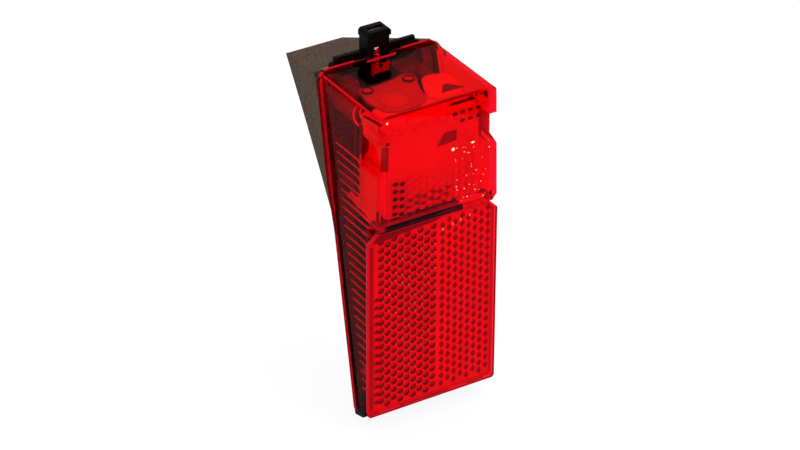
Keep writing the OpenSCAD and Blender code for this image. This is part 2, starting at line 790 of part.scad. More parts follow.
module saddle_pad() color([0.07, 0.07, 0.07]) placed() difference() {
    saddle_drum(saddle_r);
    saddle_drum(saddle_r - pad_t);
    both_sides() flank_cut(pad_margin);
    across(far) polygon([
        on_rim(-4 * far, wedge_low_v + pad_margin), on_rim(-4 * far, -30 * far),
        on_rim(30 * far, -30 * far), on_rim(30 * far, wedge_low_v + pad_margin),
    ]);
    across(far) polygon([
        saddle_mid, saddle_mid + 2 * saddle_r * [-cos(saddle_lean), sin(saddle_lean)],
        saddle_mid + 2 * saddle_r * [1, 1], saddle_mid + 2 * saddle_r * [1, -1],
    ]);
    at_stud() stud_neck(-1, pad_t + 1, screw_play);
}

module mount_stud() color([0.72, 0.72, 0.74]) placed() at_stud() {
    translate([0, 0, -stud_seat_t - stud_head_t])
        cylinder(h = stud_head_t, r = stud_head_w / 2 / cos(30), $fn = 6);
    stud_neck(-stud_seat_t - eps, pad_t, 0);
    translate([0, 0, pad_t - eps]) cylinder(h = stud_l + eps, r = stud_r);
}

module foot_screws() color([0.62, 0.62, 0.64]) placed() leaning() for (p = foot_screw_at)
    translate([p.x, 0, p.y]) {
        bar_y(plate_front - 1.4, plate_front, screw_head_r);
        bar_y(plate_front - eps, plate_back + screw_grip - 0.5, screw_r);
    }

module hinge_bar() color([0.04, 0.04, 0.045]) placed() difference() {
    at_hinge() {
        bar_x(-hinge_hw, hinge_hw, hinge_r);
        block([-hinge_hw, 0, -hinge_r], [hinge_hw, hinge_front + plate_back, hinge_r]);
    }
    for (side = [-1, 1]) {
        mid = side * knuckle_span / 2;
        room = knuckle_w / 2 + knuckle_gap;
        at_hinge() block([mid - room, -far, -far], [mid + room, hinge_r + knuckle_gap, far]);
    }
    at_hinge() bar_x(-hinge_hw + 1, hinge_hw + 1, hinge_pin_r + screw_play);
}

module hinge_pin() color([0.75, 0.75, 0.77]) placed() at_hinge()
    bar_x(-hinge_hw + 1, hinge_hw - 0.2, hinge_pin_r);

// Latch: winged slide with a finger tower over the roof, and under it the block with the hook
function wing_side(side) = [
    [side * (latch_w / 2 - wing_cut_w), wing_low], [side * latch_w / 2, wing_low + wing_cut_h],
    [side * latch_w / 2, lens_h - wing_step], [side * (latch_w / 2 + wing_step), lens_h - wing_step],
    [side * (latch_w / 2 + wing_step), lens_h + 0.4], [side * latch_w / 2, lens_h + 0.8],
    [side * latch_w / 2, wing_high],
];
module release_latch() color([0.03, 0.03, 0.035]) placed() difference() {
    union() {
        upright(wing_front, wing_rear) {
            polygon(concat(wing_side(1), [[0, wing_high], [0, wing_low]]));
            polygon(concat(wing_side(-1), [[0, wing_high], [0, wing_low]]));
        }
        block([-catch_w / 2, tower_front, catch_low], [catch_w / 2, tower_rear, lens_h - 0.4]);
        block([-tower_w / 2, tower_front, lens_h - 1], [tower_w / 2, tower_rear, tower_top - head_h + eps]);
        upright(tower_front - head_lip, tower_rear) polygon(rounded([
            [-tower_w / 2 - head_lip, tower_top - head_h, 0],
            [tower_w / 2 + head_lip, tower_top - head_h, 0],
            [tower_w / 2 + head_lip, tower_top, head_h / 2],
            [-tower_w / 2 - head_lip, tower_top, head_h / 2],
        ]));
        block([-hook_w / 2, hook_back - hook_t, hook_low], [hook_w / 2, tower_front + eps, hook_floor]);
        block([-hook_w / 2, hook_back - hook_t, hook_low], [hook_w / 2, hook_back, hook_top]);
    }
    block([-well_hw, tower_front - 1, slot_low], [well_hw, tower_rear + 1, slot_high]);
    block([-well_hw, tower_front - 1, slot_low], [well_hw, well_rear, well_top]);
    block(
        [-head_slot_l / 2, head_mid - head_slot_w / 2, tower_top - head_slot_d],
        [head_slot_l / 2, head_mid + head_slot_w / 2, tower_top + 1]);
}

module latch_spring() color([0.85, 0.85, 0.86]) placed()
    translate([0, tower_front + well_hw, seat_z + 0.05])
        coil_spring(latch_coil_r, latch_wire_d, latch_curls, latch_spring_l);

// Light unit
bowl_throat_r = lamp_r + 0.6;
bowl_steps = 6;
function bowl_at(k) = bowl_throat_r + (bowl_r - bowl_throat_r) * sqrt(k / bowl_steps);
module bowl_cut() translate([0, bowl_mouth_y + bowl_d, 0]) rotate([90, 0, 0]) rotate_extrude()
    polygon(concat(
        [[0, -unit_back - 1], [bowl_throat_r, -unit_back - 1]],
        [for (k = [0 : bowl_steps]) [bowl_at(k), bowl_d * k / bowl_steps]],
        [[bowl_r, bowl_d + 1], [0, bowl_d + 1]]));
module at_lamps() for (side = [-1, 1]) translate([side * lamp_span / 2, 0, light_z]) children();

module reflector_bowls() color([0.93, 0.92, 0.9]) placed() difference() {
    block(
        [-unit_w / 2, bowl_mouth_y, light_z - unit_h / 2],
        [unit_w / 2, board_front_y, light_z + unit_h / 2]);
    at_lamps() bowl_cut();
    for (p = board_post_at)
        translate([p.x, 0, p.y]) bar_y(board_front_y - 3, board_front_y + 1, board_screw_head_r + 0.5);
}

module lamp_board() color([0.1, 0.32, 0.18]) placed() difference() {
    block(
        [-board_w / 2, board_front_y, light_z - board_h / 2],
        [board_w / 2, board_back_y, light_z + board_h / 2]);
    for (p = board_post_at)
        translate([p.x, 0, p.y]) bar_y(board_front_y - 1, board_back_y + 1, board_screw_r + screw_play);
}

lamp_l = 8.6;
lamp_base_l = 1;
module lamps() color([0.9, 0.2, 0.2, 0.8]) placed() at_lamps() {
    bar_y(board_front_y - lamp_base_l, board_front_y, lamp_r + 0.4);
    bar_y(board_front_y - lamp_l + lamp_r, board_front_y - lamp_base_l + eps, lamp_r);
    translate([0, board_front_y - lamp_l + lamp_r, 0]) sphere(lamp_r);
}

chip_w = 6;
chip_h = 5;
chip_t = 1.5;
chip_x = 4;
chip_drop = 8;
module driver_chip() color([0.06, 0.06, 0.07]) placed()
    translate([chip_x, board_back_y, light_z - chip_drop]) cube([chip_w, chip_t, chip_h]);

can_r = 3;
can_l = 5.5;
can_x = -6;
can_drop = 4;
module buffer_capacitor() color([0.16, 0.2, 0.32]) placed()
    translate([can_x, 0, light_z - can_drop]) bar_y(board_back_y, board_back_y + can_l, can_r);

module board_screws() color([0.7, 0.68, 0.6]) placed() for (p = board_post_at)
    translate([p.x, 0, p.y]) {
        bar_y(board_front_y - 1.2, board_front_y, board_screw_head_r);
        bar_y(board_front_y - eps, board_back_y + board_screw_l - 0.5, board_screw_r);
    }

// Battery bay
module battery_tray() color([0.05, 0.05, 0.055]) placed() leaning() difference() {
    union() {
        block(
            [-bay_hw - tray_wall, plate_front - eps, tray_v - tray_wall],
            [bay_hw + tray_wall, bay_floor_w + tray_wall, bay_top_v + tray_wall]);
        block(
            [-bay_hw - tray_wall - tray_rim, plate_front - tray_wall, tray_v - tray_wall - tray_rim],
            [bay_hw + tray_wall + tray_rim, plate_front, bay_top_v + tray_wall + tray_rim]);
    }
    block([-bay_hw, -far, tray_v], [bay_hw, bay_floor_w, bay_top_v]);
}

module cell() {
    cylinder(h = cell_l - nub_l, r = cell_d / 2);
    cylinder(h = cell_l, r = nub_r);
}
module battery_left() color([0.2, 0.24, 0.3]) placed() leaning()
    translate([-cell_x, cell_w, tray_v + contact_t + spring_room]) cell();
module battery_right() color([0.2, 0.24, 0.3]) placed() leaning()
    translate([cell_x, cell_w, tray_v + contact_t + cell_l]) mirror([0, 0, 1]) cell();

contact_w = 8;
module bridge_contact() color([0.8, 0.78, 0.7]) placed() leaning()
    block(
        [-cell_x - contact_w / 2, cell_w - contact_w / 2, tray_v],
        [cell_x + contact_w / 2, cell_w + contact_w / 2, tray_v + contact_t]);
module end_contacts() color([0.8, 0.78, 0.7]) placed() leaning() for (side = [-1, 1])
    block(
        [side * cell_x - contact_w / 2, cell_w - contact_w / 2, bay_top_v - contact_t],
        [side * cell_x + contact_w / 2, cell_w + contact_w / 2, bay_top_v]);
module cell_springs() color([0.82, 0.82, 0.84]) placed() leaning() {
    spring_l = spring_room - 0.1;
    translate([-cell_x, cell_w, tray_v + contact_t + 0.05])
        coil_spring(cell_coil_r, cell_wire_d, cell_curls, spring_l);
    translate([cell_x, cell_w, bay_top_v - contact_t - 0.05]) mirror([0, 0, 1])
        coil_spring(cell_coil_r, cell_wire_d, cell_curls, spring_l);
}

// Switch on the right flank
module switch_button() color([0.09, 0.09, 0.1]) placed() at_button() {
    bar_x(-button_inner, button_out, button_r);
    bar_x(-button_inner, -button_inner + button_flange_t, button_flange_r);
}
module switch_body() color([0.12, 0.12, 0.13]) placed() at_button() {
    block([-switch_back, -switch_w / 2, -switch_w / 2], [-switch_front, switch_w / 2, switch_w / 2]);
    bar_x(-switch_front - eps, -switch_front + plunger_l, plunger_r);
}
module switch_board() color([0.1, 0.32, 0.18]) placed() at_button()
    block(
        [-switch_back - board_t, -switch_board_w / 2, -switch_board_l / 2],
        [-switch_back, switch_board_w / 2, switch_board_l / 2]);

echo(latch_spring_gap = coil_gap(latch_coil_r, latch_wire_d, latch_curls, latch_spring_l));
echo(cell_spring_gap = coil_gap(cell_coil_r, cell_wire_d, cell_curls, spring_room - 0.1));

lens_cover();
reflector_panel();
lens_seal();
base_plate();
foot_housing();
saddle_pad();
mount_stud();
foot_screws();
hinge_bar();
hinge_pin();
release_latch();
latch_spring();
reflector_bowls();
lamp_board();
lamps();
driver_chip();
buffer_capacitor();
board_screws();
battery_tray();
battery_left();
battery_right();
bridge_contact();
end_contacts();
cell_springs();
switch_button();
switch_body();
switch_board();
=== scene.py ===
import random
from math import cos, hypot, pi, radians, sin
import bmesh
import bpy
from mathutils import Matrix, Vector


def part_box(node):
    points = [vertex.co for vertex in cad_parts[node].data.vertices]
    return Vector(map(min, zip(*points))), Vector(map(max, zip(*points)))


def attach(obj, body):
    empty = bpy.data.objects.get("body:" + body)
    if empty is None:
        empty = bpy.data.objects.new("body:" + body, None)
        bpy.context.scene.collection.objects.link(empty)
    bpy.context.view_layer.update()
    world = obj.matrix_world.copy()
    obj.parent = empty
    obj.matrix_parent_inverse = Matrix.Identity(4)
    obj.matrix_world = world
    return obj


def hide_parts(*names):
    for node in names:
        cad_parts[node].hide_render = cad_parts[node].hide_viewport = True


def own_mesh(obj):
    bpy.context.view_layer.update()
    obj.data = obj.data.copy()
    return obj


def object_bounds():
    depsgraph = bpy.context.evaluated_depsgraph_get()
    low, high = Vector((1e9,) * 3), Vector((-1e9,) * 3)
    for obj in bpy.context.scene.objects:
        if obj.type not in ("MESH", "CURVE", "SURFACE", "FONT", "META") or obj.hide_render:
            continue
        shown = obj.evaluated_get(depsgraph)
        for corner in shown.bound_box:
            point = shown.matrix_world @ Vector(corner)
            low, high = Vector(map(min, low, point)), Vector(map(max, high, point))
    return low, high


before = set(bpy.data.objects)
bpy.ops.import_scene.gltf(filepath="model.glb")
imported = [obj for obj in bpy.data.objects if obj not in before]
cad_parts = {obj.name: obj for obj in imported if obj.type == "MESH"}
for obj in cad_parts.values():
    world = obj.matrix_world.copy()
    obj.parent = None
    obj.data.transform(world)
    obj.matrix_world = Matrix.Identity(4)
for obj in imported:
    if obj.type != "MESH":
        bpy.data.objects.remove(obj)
cadBox = [list(corner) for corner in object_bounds()]
mm = 0.001
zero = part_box("reflector_panel")[0]  # reflector face and lens bottom
upward, forward, backward, rightward = (Vector(v) for v in ((0, 0, 1), (0, -1, 0), (0, 1, 0), (1, 0, 0)))
flanks = ((-1, "Left"), (1, "Right"))
lensSide = {"half": 22.4, "taper": 2.3, "high": 103}
rim = {"lean": radians(13.2), "foot": 7.8}  # plane between lens and base
rimCos, rimSin = cos(rim["lean"]), sin(rim["lean"])
rimOut, rimUp = Vector((0, -rimCos, rimSin)), Vector((0, rimSin, rimCos))
print("frame loaded:", len(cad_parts), "nodes")


def fit(x, y, z):  # mm to the right, behind the reflector's face and above its foot
    return Vector((x * mm, zero.y + y * mm, zero.z + z * mm))


def onRim(x, w, v):  # w behind the lens rim, v up along it
    return fit(x, rim["foot"] + w * rimCos + v * rimSin, v * rimCos - w * rimSin)


def rimSpot(p):  # the way back: w and v of a point
    y, z = (p.y - zero.y) / mm - rim["foot"], (p.z - zero.z) / mm
    return y * rimCos - z * rimSin, y * rimSin + z * rimCos


def lensHalf(z):
    return lensSide["half"] - lensSide["taper"] * z / lensSide["high"]


def turnTo(way):  # rotation whose z goes that way
    z = way.normalized()
    x = upward.cross(z)
    x = x.normalized() if x.length > 1e-6 else rightward
    return Matrix((x, z.cross(x), z)).transposed().to_4x4()


def at(spot, way):
    return Matrix.Translation(spot) @ turnTo(way)


def around(radius, k, steps):  # point of a circle after k of so many steps
    turn = 2 * pi * k / steps
    return radius * cos(turn), radius * sin(turn)


def quarter(steps):  # angles over a quarter turn
    return [pi / 2 * k / steps for k in range(steps + 1)]


def placed(name, data):
    made = bpy.data.objects.new(name, data)
    bpy.context.scene.collection.objects.link(made)
    return made


viewPoint = {"azimuth": -32.04, "elevation": 31.17, "roll": 0.33, "away": 1.05045, "look": fit(0, 15, 48),
             "lens": 158.13, "sensor": 36, "shift": (-6.62 / 800, 15.45 / 800), "clip": (0.01, 20)}


def makeCamera(v):
    a, e, r = (radians(v[k]) for k in ("azimuth", "elevation", "roll"))
    back = Vector((sin(a) * cos(e), -cos(a) * cos(e), sin(e)))
    right = Vector((cos(a), sin(a), 0))
    rise = back.cross(right)
    side, top = right * cos(r) + rise * sin(r), rise * cos(r) - right * sin(r)
    data = bpy.data.cameras.new("photoCamera")
    data.lens, data.sensor_width = v["lens"], v["sensor"]
    data.shift_x, data.shift_y = v["shift"]
    data.clip_start, data.clip_end = v["clip"]
    camera = placed("photoCamera", data)
    place = Matrix((side, top, back)).transposed().to_4x4()
    place.translation = v["look"] + back * v["away"]
    camera.matrix_world = place
    bpy.context.scene.camera = camera


makeCamera(viewPoint)
print("camera placed")

noiseSpan = (0.3, 0.7)  # where most of a noise's values lie
plasticFlow = {"tint": 40, "haze": 900, "wave": 160, "lift": 0.0004}
mouldGrain = {"speckle": 1500, "stops": (0.32, 0.5, 0.68), "broad": 45, "grain": 1700, "lift": 0.00012,
              "patches": ((0.82, 0.82, 0.8), (1.0, 1.0, 1.0))}
workLift = 0.00008
redCoat = {"rough": (0.32, 0.46), "scale": 420, "depth": 0.03}
boardNet = {"scale": 380.0, "uneven": 0.4, "depth": 0.1, "lift": 0.00006, "stops": [
    (0.0, (0.055, 0.23, 0.1)), (0.09, (0.05, 0.21, 0.09)), (0.12, (0.015, 0.085, 0.04)),
    (1.0, (0.02, 0.1, 0.05))]}


def put(tree, kind, inputs=None, **settings):
    node = tree.nodes.new(kind)
    for key, value in settings.items():
        setattr(node, key, value)
    for key, value in (inputs or {}).items():
        if isinstance(value, bpy.types.NodeSocket):
            tree.links.new(value, node.inputs[key])
        else:
            node.inputs[key].default_value = value
    return node


def startFinish(name, gloss=0.5, **sockets):
    material = bpy.data.materials.new(name)
    material.use_nodes = True
    shader = material.node_tree.nodes["Principled BSDF"]
    shader.inputs["Specular IOR Level"].default_value = gloss
    for key, value in sockets.items():
        shader.inputs[key.replace("_", " ")].default_value = value
    return material, material.node_tree, shader


def feed(tree, shader, colour, rough=None):
    tree.links.new(colour, shader.inputs["Base Color"])
    if rough:
        tree.links.new(rough, shader.inputs["Roughness"])


def places(tree):
    return put(tree, "ShaderNodeTexCoord").outputs["Object"]


def noise(tree, scale, detail, rough=0.55, where=None):
    return put(tree, "ShaderNodeTexNoise", {"Vector": where or places(tree), "Scale": scale, "Detail": detail,
                                            "Roughness": rough}).outputs["Fac"]


def ramp(tree, factor, stops):
    node = put(tree, "ShaderNodeValToRGB", {"Fac": factor})
    band = node.color_ramp
    while len(band.elements) < len(stops):
        band.elements.new(0.5)
    for element, (spot, colour) in zip(band.elements, stops):
        element.position = spot
        element.color = (*colour, 1)
    return node.outputs["Color"]


def tones(tree, factor, dark, light):
    return ramp(tree, factor, list(zip(noiseSpan, (dark, light))))


def spread(tree, factor, low, high):
    return put(tree, "ShaderNodeMapRange", {"Value": factor, "From Min": noiseSpan[0], "From Max": noiseSpan[1],
                                            "To Min": low, "To Max": high}).outputs["Result"]


def relief(tree, shader, height, strength, distance):
    bump = put(tree, "ShaderNodeBump", {"Height": height, "Strength": strength, "Distance": distance})
    tree.links.new(bump.outputs["Normal"], shader.inputs["Normal"])


def redPlastic(name, deep, clear, rough, wave, bend=1.07, shine=(1.0, 0.06, 0.07, 1)):
    p = plasticFlow  # see-through, with the faint flow of a moulding
    material, tree, shader = startFinish(name, Transmission_Weight=1.0, IOR=bend, Specular_Tint=shine)
    feed(tree, shader, tones(tree, noise(tree, p["tint"], 2), deep, clear),
         spread(tree, noise(tree, p["haze"], 4), *rough))
    relief(tree, shader, noise(tree, p["wave"], 2), wave, p["lift"])
    return material


def grainPlastic(name, specks, rough, depth, **sockets):  # spark-grained moulding
    p = mouldGrain
    material, tree, shader = startFinish(name, **sockets)
    fine = noise(tree, p["speckle"], 2, 0.7)
    broad = noise(tree, p["broad"], 3)
    both = put(tree, "ShaderNodeMix", {"Factor": 1.0, 6: ramp(tree, fine, list(zip(p["stops"], specks))),
                                       7: tones(tree, broad, *p["patches"])},
               data_type="RGBA", blend_type="MULTIPLY")
    feed(tree, shader, both.outputs[2], spread(tree, fine, *rough))
    relief(tree, shader, noise(tree, p["grain"], 3, 0.6), depth, p["lift"])
    return material


def worked(name, dark, light, rough, scale, depth, stretch=(1, 1, 1), **sockets):  # metals and plain coats
    material, tree, shader = startFinish(name, **sockets)
    where = put(tree, "ShaderNodeMapping", {"Vector": places(tree), "Scale": stretch}).outputs["Vector"]
    marks = noise(tree, scale, 4, 0.6, where)
    feed(tree, shader, tones(tree, marks, dark, light), spread(tree, marks, *rough))
    relief(tree, shader, marks, depth, workLift)
    return material


def metal(*values):
    return worked(*values, Metallic=1.0)


def redSolid(name, dark, light):  # red that the light doesn't pass straight through
    return worked(name, dark, light, *redCoat.values(), gloss=0.0)


def boardFinish(name):  # solder mask over a net of tracks
    p = boardNet
    material, tree, shader = startFinish(name, Roughness=0.38)
    net = put(tree, "ShaderNodeTexVoronoi",
              {"Vector": places(tree), "Scale": p["scale"], "Randomness": p["uneven"]},
              feature="DISTANCE_TO_EDGE").outputs["Distance"]
    feed(tree, shader, ramp(tree, net, p["stops"]))
    relief(tree, shader, net, p["depth"], p["lift"])
    return material


coolGloss = {"bend": 1.15, "shine": (0.2, 0.4, 1.0, 1)}  # front faces mirror a little of the room
redLens = redPlastic("redLens", (0.85, 0.002, 0.011), (0.91, 0.003, 0.016), (0.015, 0.045), 0.05)
redFront = redPlastic("redFront", (0.93, 0.003, 0.014), (0.98, 0.005, 0.02), (0.015, 0.045), 0.05, **coolGloss)
redPlate = redPlastic("redPlate", (0.93, 0.01, 0.03), (0.98, 0.014, 0.04), (0.015, 0.04), 0.02, **coolGloss)
lampResin = redPlastic("lampResin", (0.9, 0.16, 0.15), (0.96, 0.24, 0.22), (0.03, 0.08), 0.02)
# bright opaque red painted on the lens's rim and roof edge as a glow of light
redEdge = redSolid("redEdge", (0.32, 0.002, 0.006), (0.44, 0.004, 0.01))
# bright solid red: the own colour of the pillows and arcs, and painted light on rib tops, groove faces and the
# right sill
redGlow = redSolid("redGlow", (0.72, 0.004, 0.014), (0.84, 0.006, 0.02))
redTab = redSolid("redTab", (0.3, 0.004, 0.009), (0.4, 0.006, 0.013))
redBorder = redSolid("redBorder", (0.42, 0.003, 0.006), (0.52, 0.004, 0.009))
redShade = redSolid("redShade", (0.2, 0.003, 0.006), (0.3, 0.005, 0.009))
redDeep = redSolid("redDeep", (0.04, 0.001, 0.002), (0.12, 0.002, 0.004))
footGrain = grainPlastic("footGrain", ((0.014, 0.008, 0.005), (0.047, 0.029, 0.019), (0.125, 0.083, 0.057)),
                         (0.6, 0.8), 0.45, gloss=0.03)
baseGrain = grainPlastic("baseGrain", ((0.07, 0.052, 0.04), (0.15, 0.118, 0.092), (0.27, 0.21, 0.17)),
                         (0.5, 0.7), 0.35, gloss=0.2)
latchSatin = worked("latchSatin", (0.0012, 0.0008, 0.0008), (0.003, 0.002, 0.002), (0.26, 0.38), 700, 0.05,
                    gloss=0.02)
lipBlack = worked("lipBlack", (0.0012, 0.0008, 0.0008), (0.003, 0.0022, 0.0022), (0.42, 0.56), 900, 0.06,
                  gloss=0.04)
trayBlack = worked("trayBlack", (0.012, 0.012, 0.013), (0.024, 0.023, 0.022), (0.4, 0.55), 1100, 0.08)
sealRubber = worked("sealRubber", (0.02, 0.015, 0.014), (0.038, 0.029, 0.027), (0.62, 0.8), 1600, 0.1,
                    gloss=0.15)
sealSoft = worked("sealSoft", (0.04, 0.03, 0.028), (0.07, 0.055, 0.05), (0.62, 0.8), 1600, 0.1, gloss=0.15)
padRubber = worked("padRubber", (0.016, 0.015, 0.014), (0.036, 0.034, 0.032), (0.66, 0.85), 1400, 0.14)
buttonRubber = worked("buttonRubber", (0.018, 0.018, 0.019), (0.036, 0.035, 0.035), (0.55, 0.72), 1300, 0.1)
studZinc = metal("studZinc", (0.55, 0.55, 0.54), (0.74, 0.74, 0.72), (0.24, 0.4), 420, 0.05)
screwZinc = metal("screwZinc", (0.52, 0.52, 0.5), (0.72, 0.71, 0.68), (0.26, 0.44), 600, 0.05)
springWire = metal("springWire", (0.66, 0.66, 0.65), (0.84, 0.84, 0.83), (0.14, 0.26), 900, 0.03, (1, 1, 4))
pinSteel = metal("pinSteel", (0.6, 0.6, 0.6), (0.78, 0.78, 0.78), (0.18, 0.3), 700, 0.03, (6, 1, 1))
contactNickel = metal("contactNickel", (0.62, 0.58, 0.48), (0.8, 0.76, 0.64), (0.2, 0.34), 500, 0.04, (1, 1, 5))
bowlMirror = metal("bowlMirror", (0.86, 0.86, 0.85), (0.95, 0.95, 0.94), (0.06, 0.14), 350, 0.02)
unitWhite = worked("unitWhite", (0.7, 0.62, 0.55), (0.78, 0.7, 0.63), (0.34, 0.48), 800, 0.05)
# the block's white painted brighter for the flanks, as painted light
flankWhite = worked("flankWhite", (0.9, 0.8, 0.71), (0.97, 0.88, 0.79), (0.4, 0.55), 800, 0.04)
deckPale = worked("deckPale", (0.46, 0.45, 0.44), (0.56, 0.55, 0.54), (0.4, 0.54), 700, 0.05)
deckGrey = worked("deckGrey", (0.35, 0.34, 0.33), (0.44, 0.43, 0.42), (0.4, 0.54), 700, 0.05)
# pale specks on the chamber's front are painted glints
sparkPale = worked("sparkPale", (0.9, 0.5, 0.34), (0.96, 0.74, 0.5), (0.12, 0.22), 900, 0.02)
# warm specks on the reflector are painted glints
glintWarm = worked("glintWarm", (0.8, 0.16, 0.09), (0.92, 0.3, 0.17), (0.12, 0.22), 900, 0.02)
cellSleeve = worked("cellSleeve", (0.018, 0.045, 0.1), (0.028, 0.065, 0.14), (0.22, 0.34), 260, 0.03, (1, 1, 8))
cellBand = worked("cellBand", (0.42, 0.43, 0.45), (0.55, 0.56, 0.58), (0.24, 0.36), 260, 0.03, (1, 1, 8))
cellSteel = metal("cellSteel", (0.6, 0.6, 0.59), (0.78, 0.78, 0.76), (0.18, 0.3), 420, 0.04)
canSleeve = worked("canSleeve", (0.012, 0.02, 0.055), (0.022, 0.034, 0.085), (0.24, 0.38), 400, 0.04)
chipEpoxy = worked("chipEpoxy", (0.01, 0.01, 0.011), (0.02, 0.02, 0.021), (0.52, 0.68), 1800, 0.1)
boardGreen = boardFinish("boardGreen")
print("finishes ready")

sharpAngle, crispAngle, wireAngle = 40, 32, 60  # edges that turn by more stay sharp
cornerCuts = (0.25, 0.75)
solidWork = {"weld": 2e-6, "flat": radians(0.4), "turn": radians(28)}


def newPiece(name, mesh, body, material, stands=()):
    piece = placed(name, mesh)
    if not mesh.materials:
        for m in (material if isinstance(material, list) else [material]):
            mesh.materials.append(m)
    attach(piece, body)
    if stands:
        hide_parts(*stands)
    return piece


def plainMesh(name, build, *values):
    work = bmesh.new()
    build(work, *values)
    mesh = bpy.data.meshes.new(name)
    work.to_mesh(mesh)
    work.free()
    return mesh


def applied(carrier, name):  # plain mesh of what the carrier's modifier makes
    graph = bpy.context.evaluated_depsgraph_get()
    mesh = bpy.data.meshes.new_from_object(carrier.evaluated_get(graph), depsgraph=graph)
    mesh.name = name
    return mesh


def softened(mesh, angle, even=False):  # even: flat faces keep flat normals beside their rounded edges
    mesh.shade_smooth()
    mesh.set_sharp_from_angle(angle=radians(angle))
    if not even:
        return mesh
    carrier = placed("evened", mesh)
    modifier = carrier.modifiers.new("even", "WEIGHTED_NORMAL")
    modifier.mode, modifier.weight, modifier.keep_sharp = "FACE_AREA", 100, True
    done = applied(carrier, mesh.name)
    bpy.data.objects.remove(carrier)
    return done


def formed(name, body, material, slot, build, *values, stands=(), angle=sharpAngle, even=False):
    return newPiece(name, softened(plainMesh(name, build, *values), angle, even), body, material, stands)


def rounded(work, edges, ease, steps, **more):
    bmesh.ops.bevel(work, geom=edges, offset=ease * mm, segments=steps, profile=0.5, affect="EDGES", **more)


def outward(work):
    bmesh.ops.recalc_face_normals(work, faces=work.faces)


def easedSolid(work, node, ease, steps, least, edge, sort):  # merged copy of the node
    work.from_mesh(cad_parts[node].data)
    bmesh.ops.remove_doubles(work, verts=work.verts, dist=solidWork["weld"])
    bmesh.ops.dissolve_limit(work, angle_limit=solidWork["flat"], verts=work.verts, edges=work.edges)
    edges = [e for e in work.edges if len(e.link_faces) == 2 and e.calc_length() > least * mm
             and abs(e.calc_face_angle_signed(0)) > solidWork["turn"]]
    rounded(work, edges, ease, steps, offset_type="OFFSET", clamp_overlap=True, material=edge)
    bmesh.ops.triangulate(work, faces=[f for f in work.faces if len(f.verts) > 4])
    if sort:
        for face in work.faces:
            face.material_index = sort(face.calc_center_median(), face.normal, face.material_index)


def fromSolid(name, node, body, material, slot, ease=0.25, steps=2, least=0.5, edge=-1, sort=None):
    formed(name, body, material, slot, easedSolid, node, ease, steps, least, edge, sort,
           stands=[node], even=True)


def lathe(work, profile, place, steps, band=None):  # profile of (radius, along) in mm, closed at both ends
    rings = [[work.verts.new(place @ Vector((*around(radius * mm, k, steps), along * mm)))
              for k in range(steps if radius > 1e-6 else 1)] for radius, along in profile]
    for n, (a, b) in enumerate(zip(rings, rings[1:])):
        for i in range(steps):
            j = (i + 1) % steps
            corners = [a[i % len(a)], a[j % len(a)], b[j % len(b)], b[i % len(b)]]
            corners = [c for m, c in enumerate(corners) if c not in corners[:m]]
            if len(corners) > 2:
                work.faces.new(corners).material_index = band[n] if band else 0
    outward(work)


def facing(u, v, depth):  # outline in x and z, drawn backwards
    return fit(u, depth, v)


def flanking(side):  # outline in y and z, drawn sideways
    return lambda u, v, depth: fit(side * depth, u, v)


def looped(ring):  # neighbours all the way round
    return zip(ring, ring[1:] + ring[:1])


def banded(work, a, b):  # faces between two rings of points
    return [work.faces.new((p, q, s, r)) for (p, q), (r, s) in zip(looped(a), looped(b))]


def fan(work, ring, tip):  # faces from a ring to its tip, and across the ring
    return [work.faces.new((p, q, tip)) for p, q in looped(ring)] + [work.faces.new(ring)]


def drawnPlate(work, outline, spot, span, ease=0.1, cuts=0, edge=-1):  # outline over a span, its rims eased
    for _ in range(cuts):
        outline = [(a[0] + (b[0] - a[0]) * t, a[1] + (b[1] - a[1]) * t)
                   for a, b in looped(outline) for t in cornerCuts]
    near, away = ([work.verts.new(spot(u, v, depth)) for u, v in outline] for depth in span)
    ends = [work.faces.new(near), work.faces.new(away)]
    for face in banded(work, near, away):
        face.material_index = max(edge, 0)
    outward(work)
    rounded(work, [e for f in ends for e in f.edges], ease, 3, material=edge)


def slab(work, low, high, ease, steps=2):  # eased block between two corners
    made = bmesh.ops.create_cube(work, size=1)["verts"]
    a, b = fit(*low), fit(*high)
    for v in made:
        v.co = Vector([a[k] + (v.co[k] + 0.5) * (b[k] - a[k]) for k in range(3)])
    rounded(work, list({e for v in made for e in v.link_edges}), ease, steps)


def tube(work, rings):  # faces between rings of points, ends closed
    for a, b in zip(rings, rings[1:]):
        banded(work, a, b)
    work.faces.new(rings[0][::-1])
    work.faces.new(rings[-1])


def sweep(work, path, radius, steps=10):  # round wire along points
    rings = []
    for i, p in enumerate(path):
        ahead = (path[min(i + 1, len(path) - 1)] - path[max(i - 1, 0)]).normalized()
        if i == 0:
            across = ahead.orthogonal().normalized()
        else:
            across = (across - ahead * across.dot(ahead)).normalized()
        other = ahead.cross(across)
        turns = [around(1, k, steps) for k in range(steps)]
        rings.append([work.verts.new(p + (across * c + other * s) * radius * mm) for c, s in turns])
    tube(work, rings)
    outward(work)


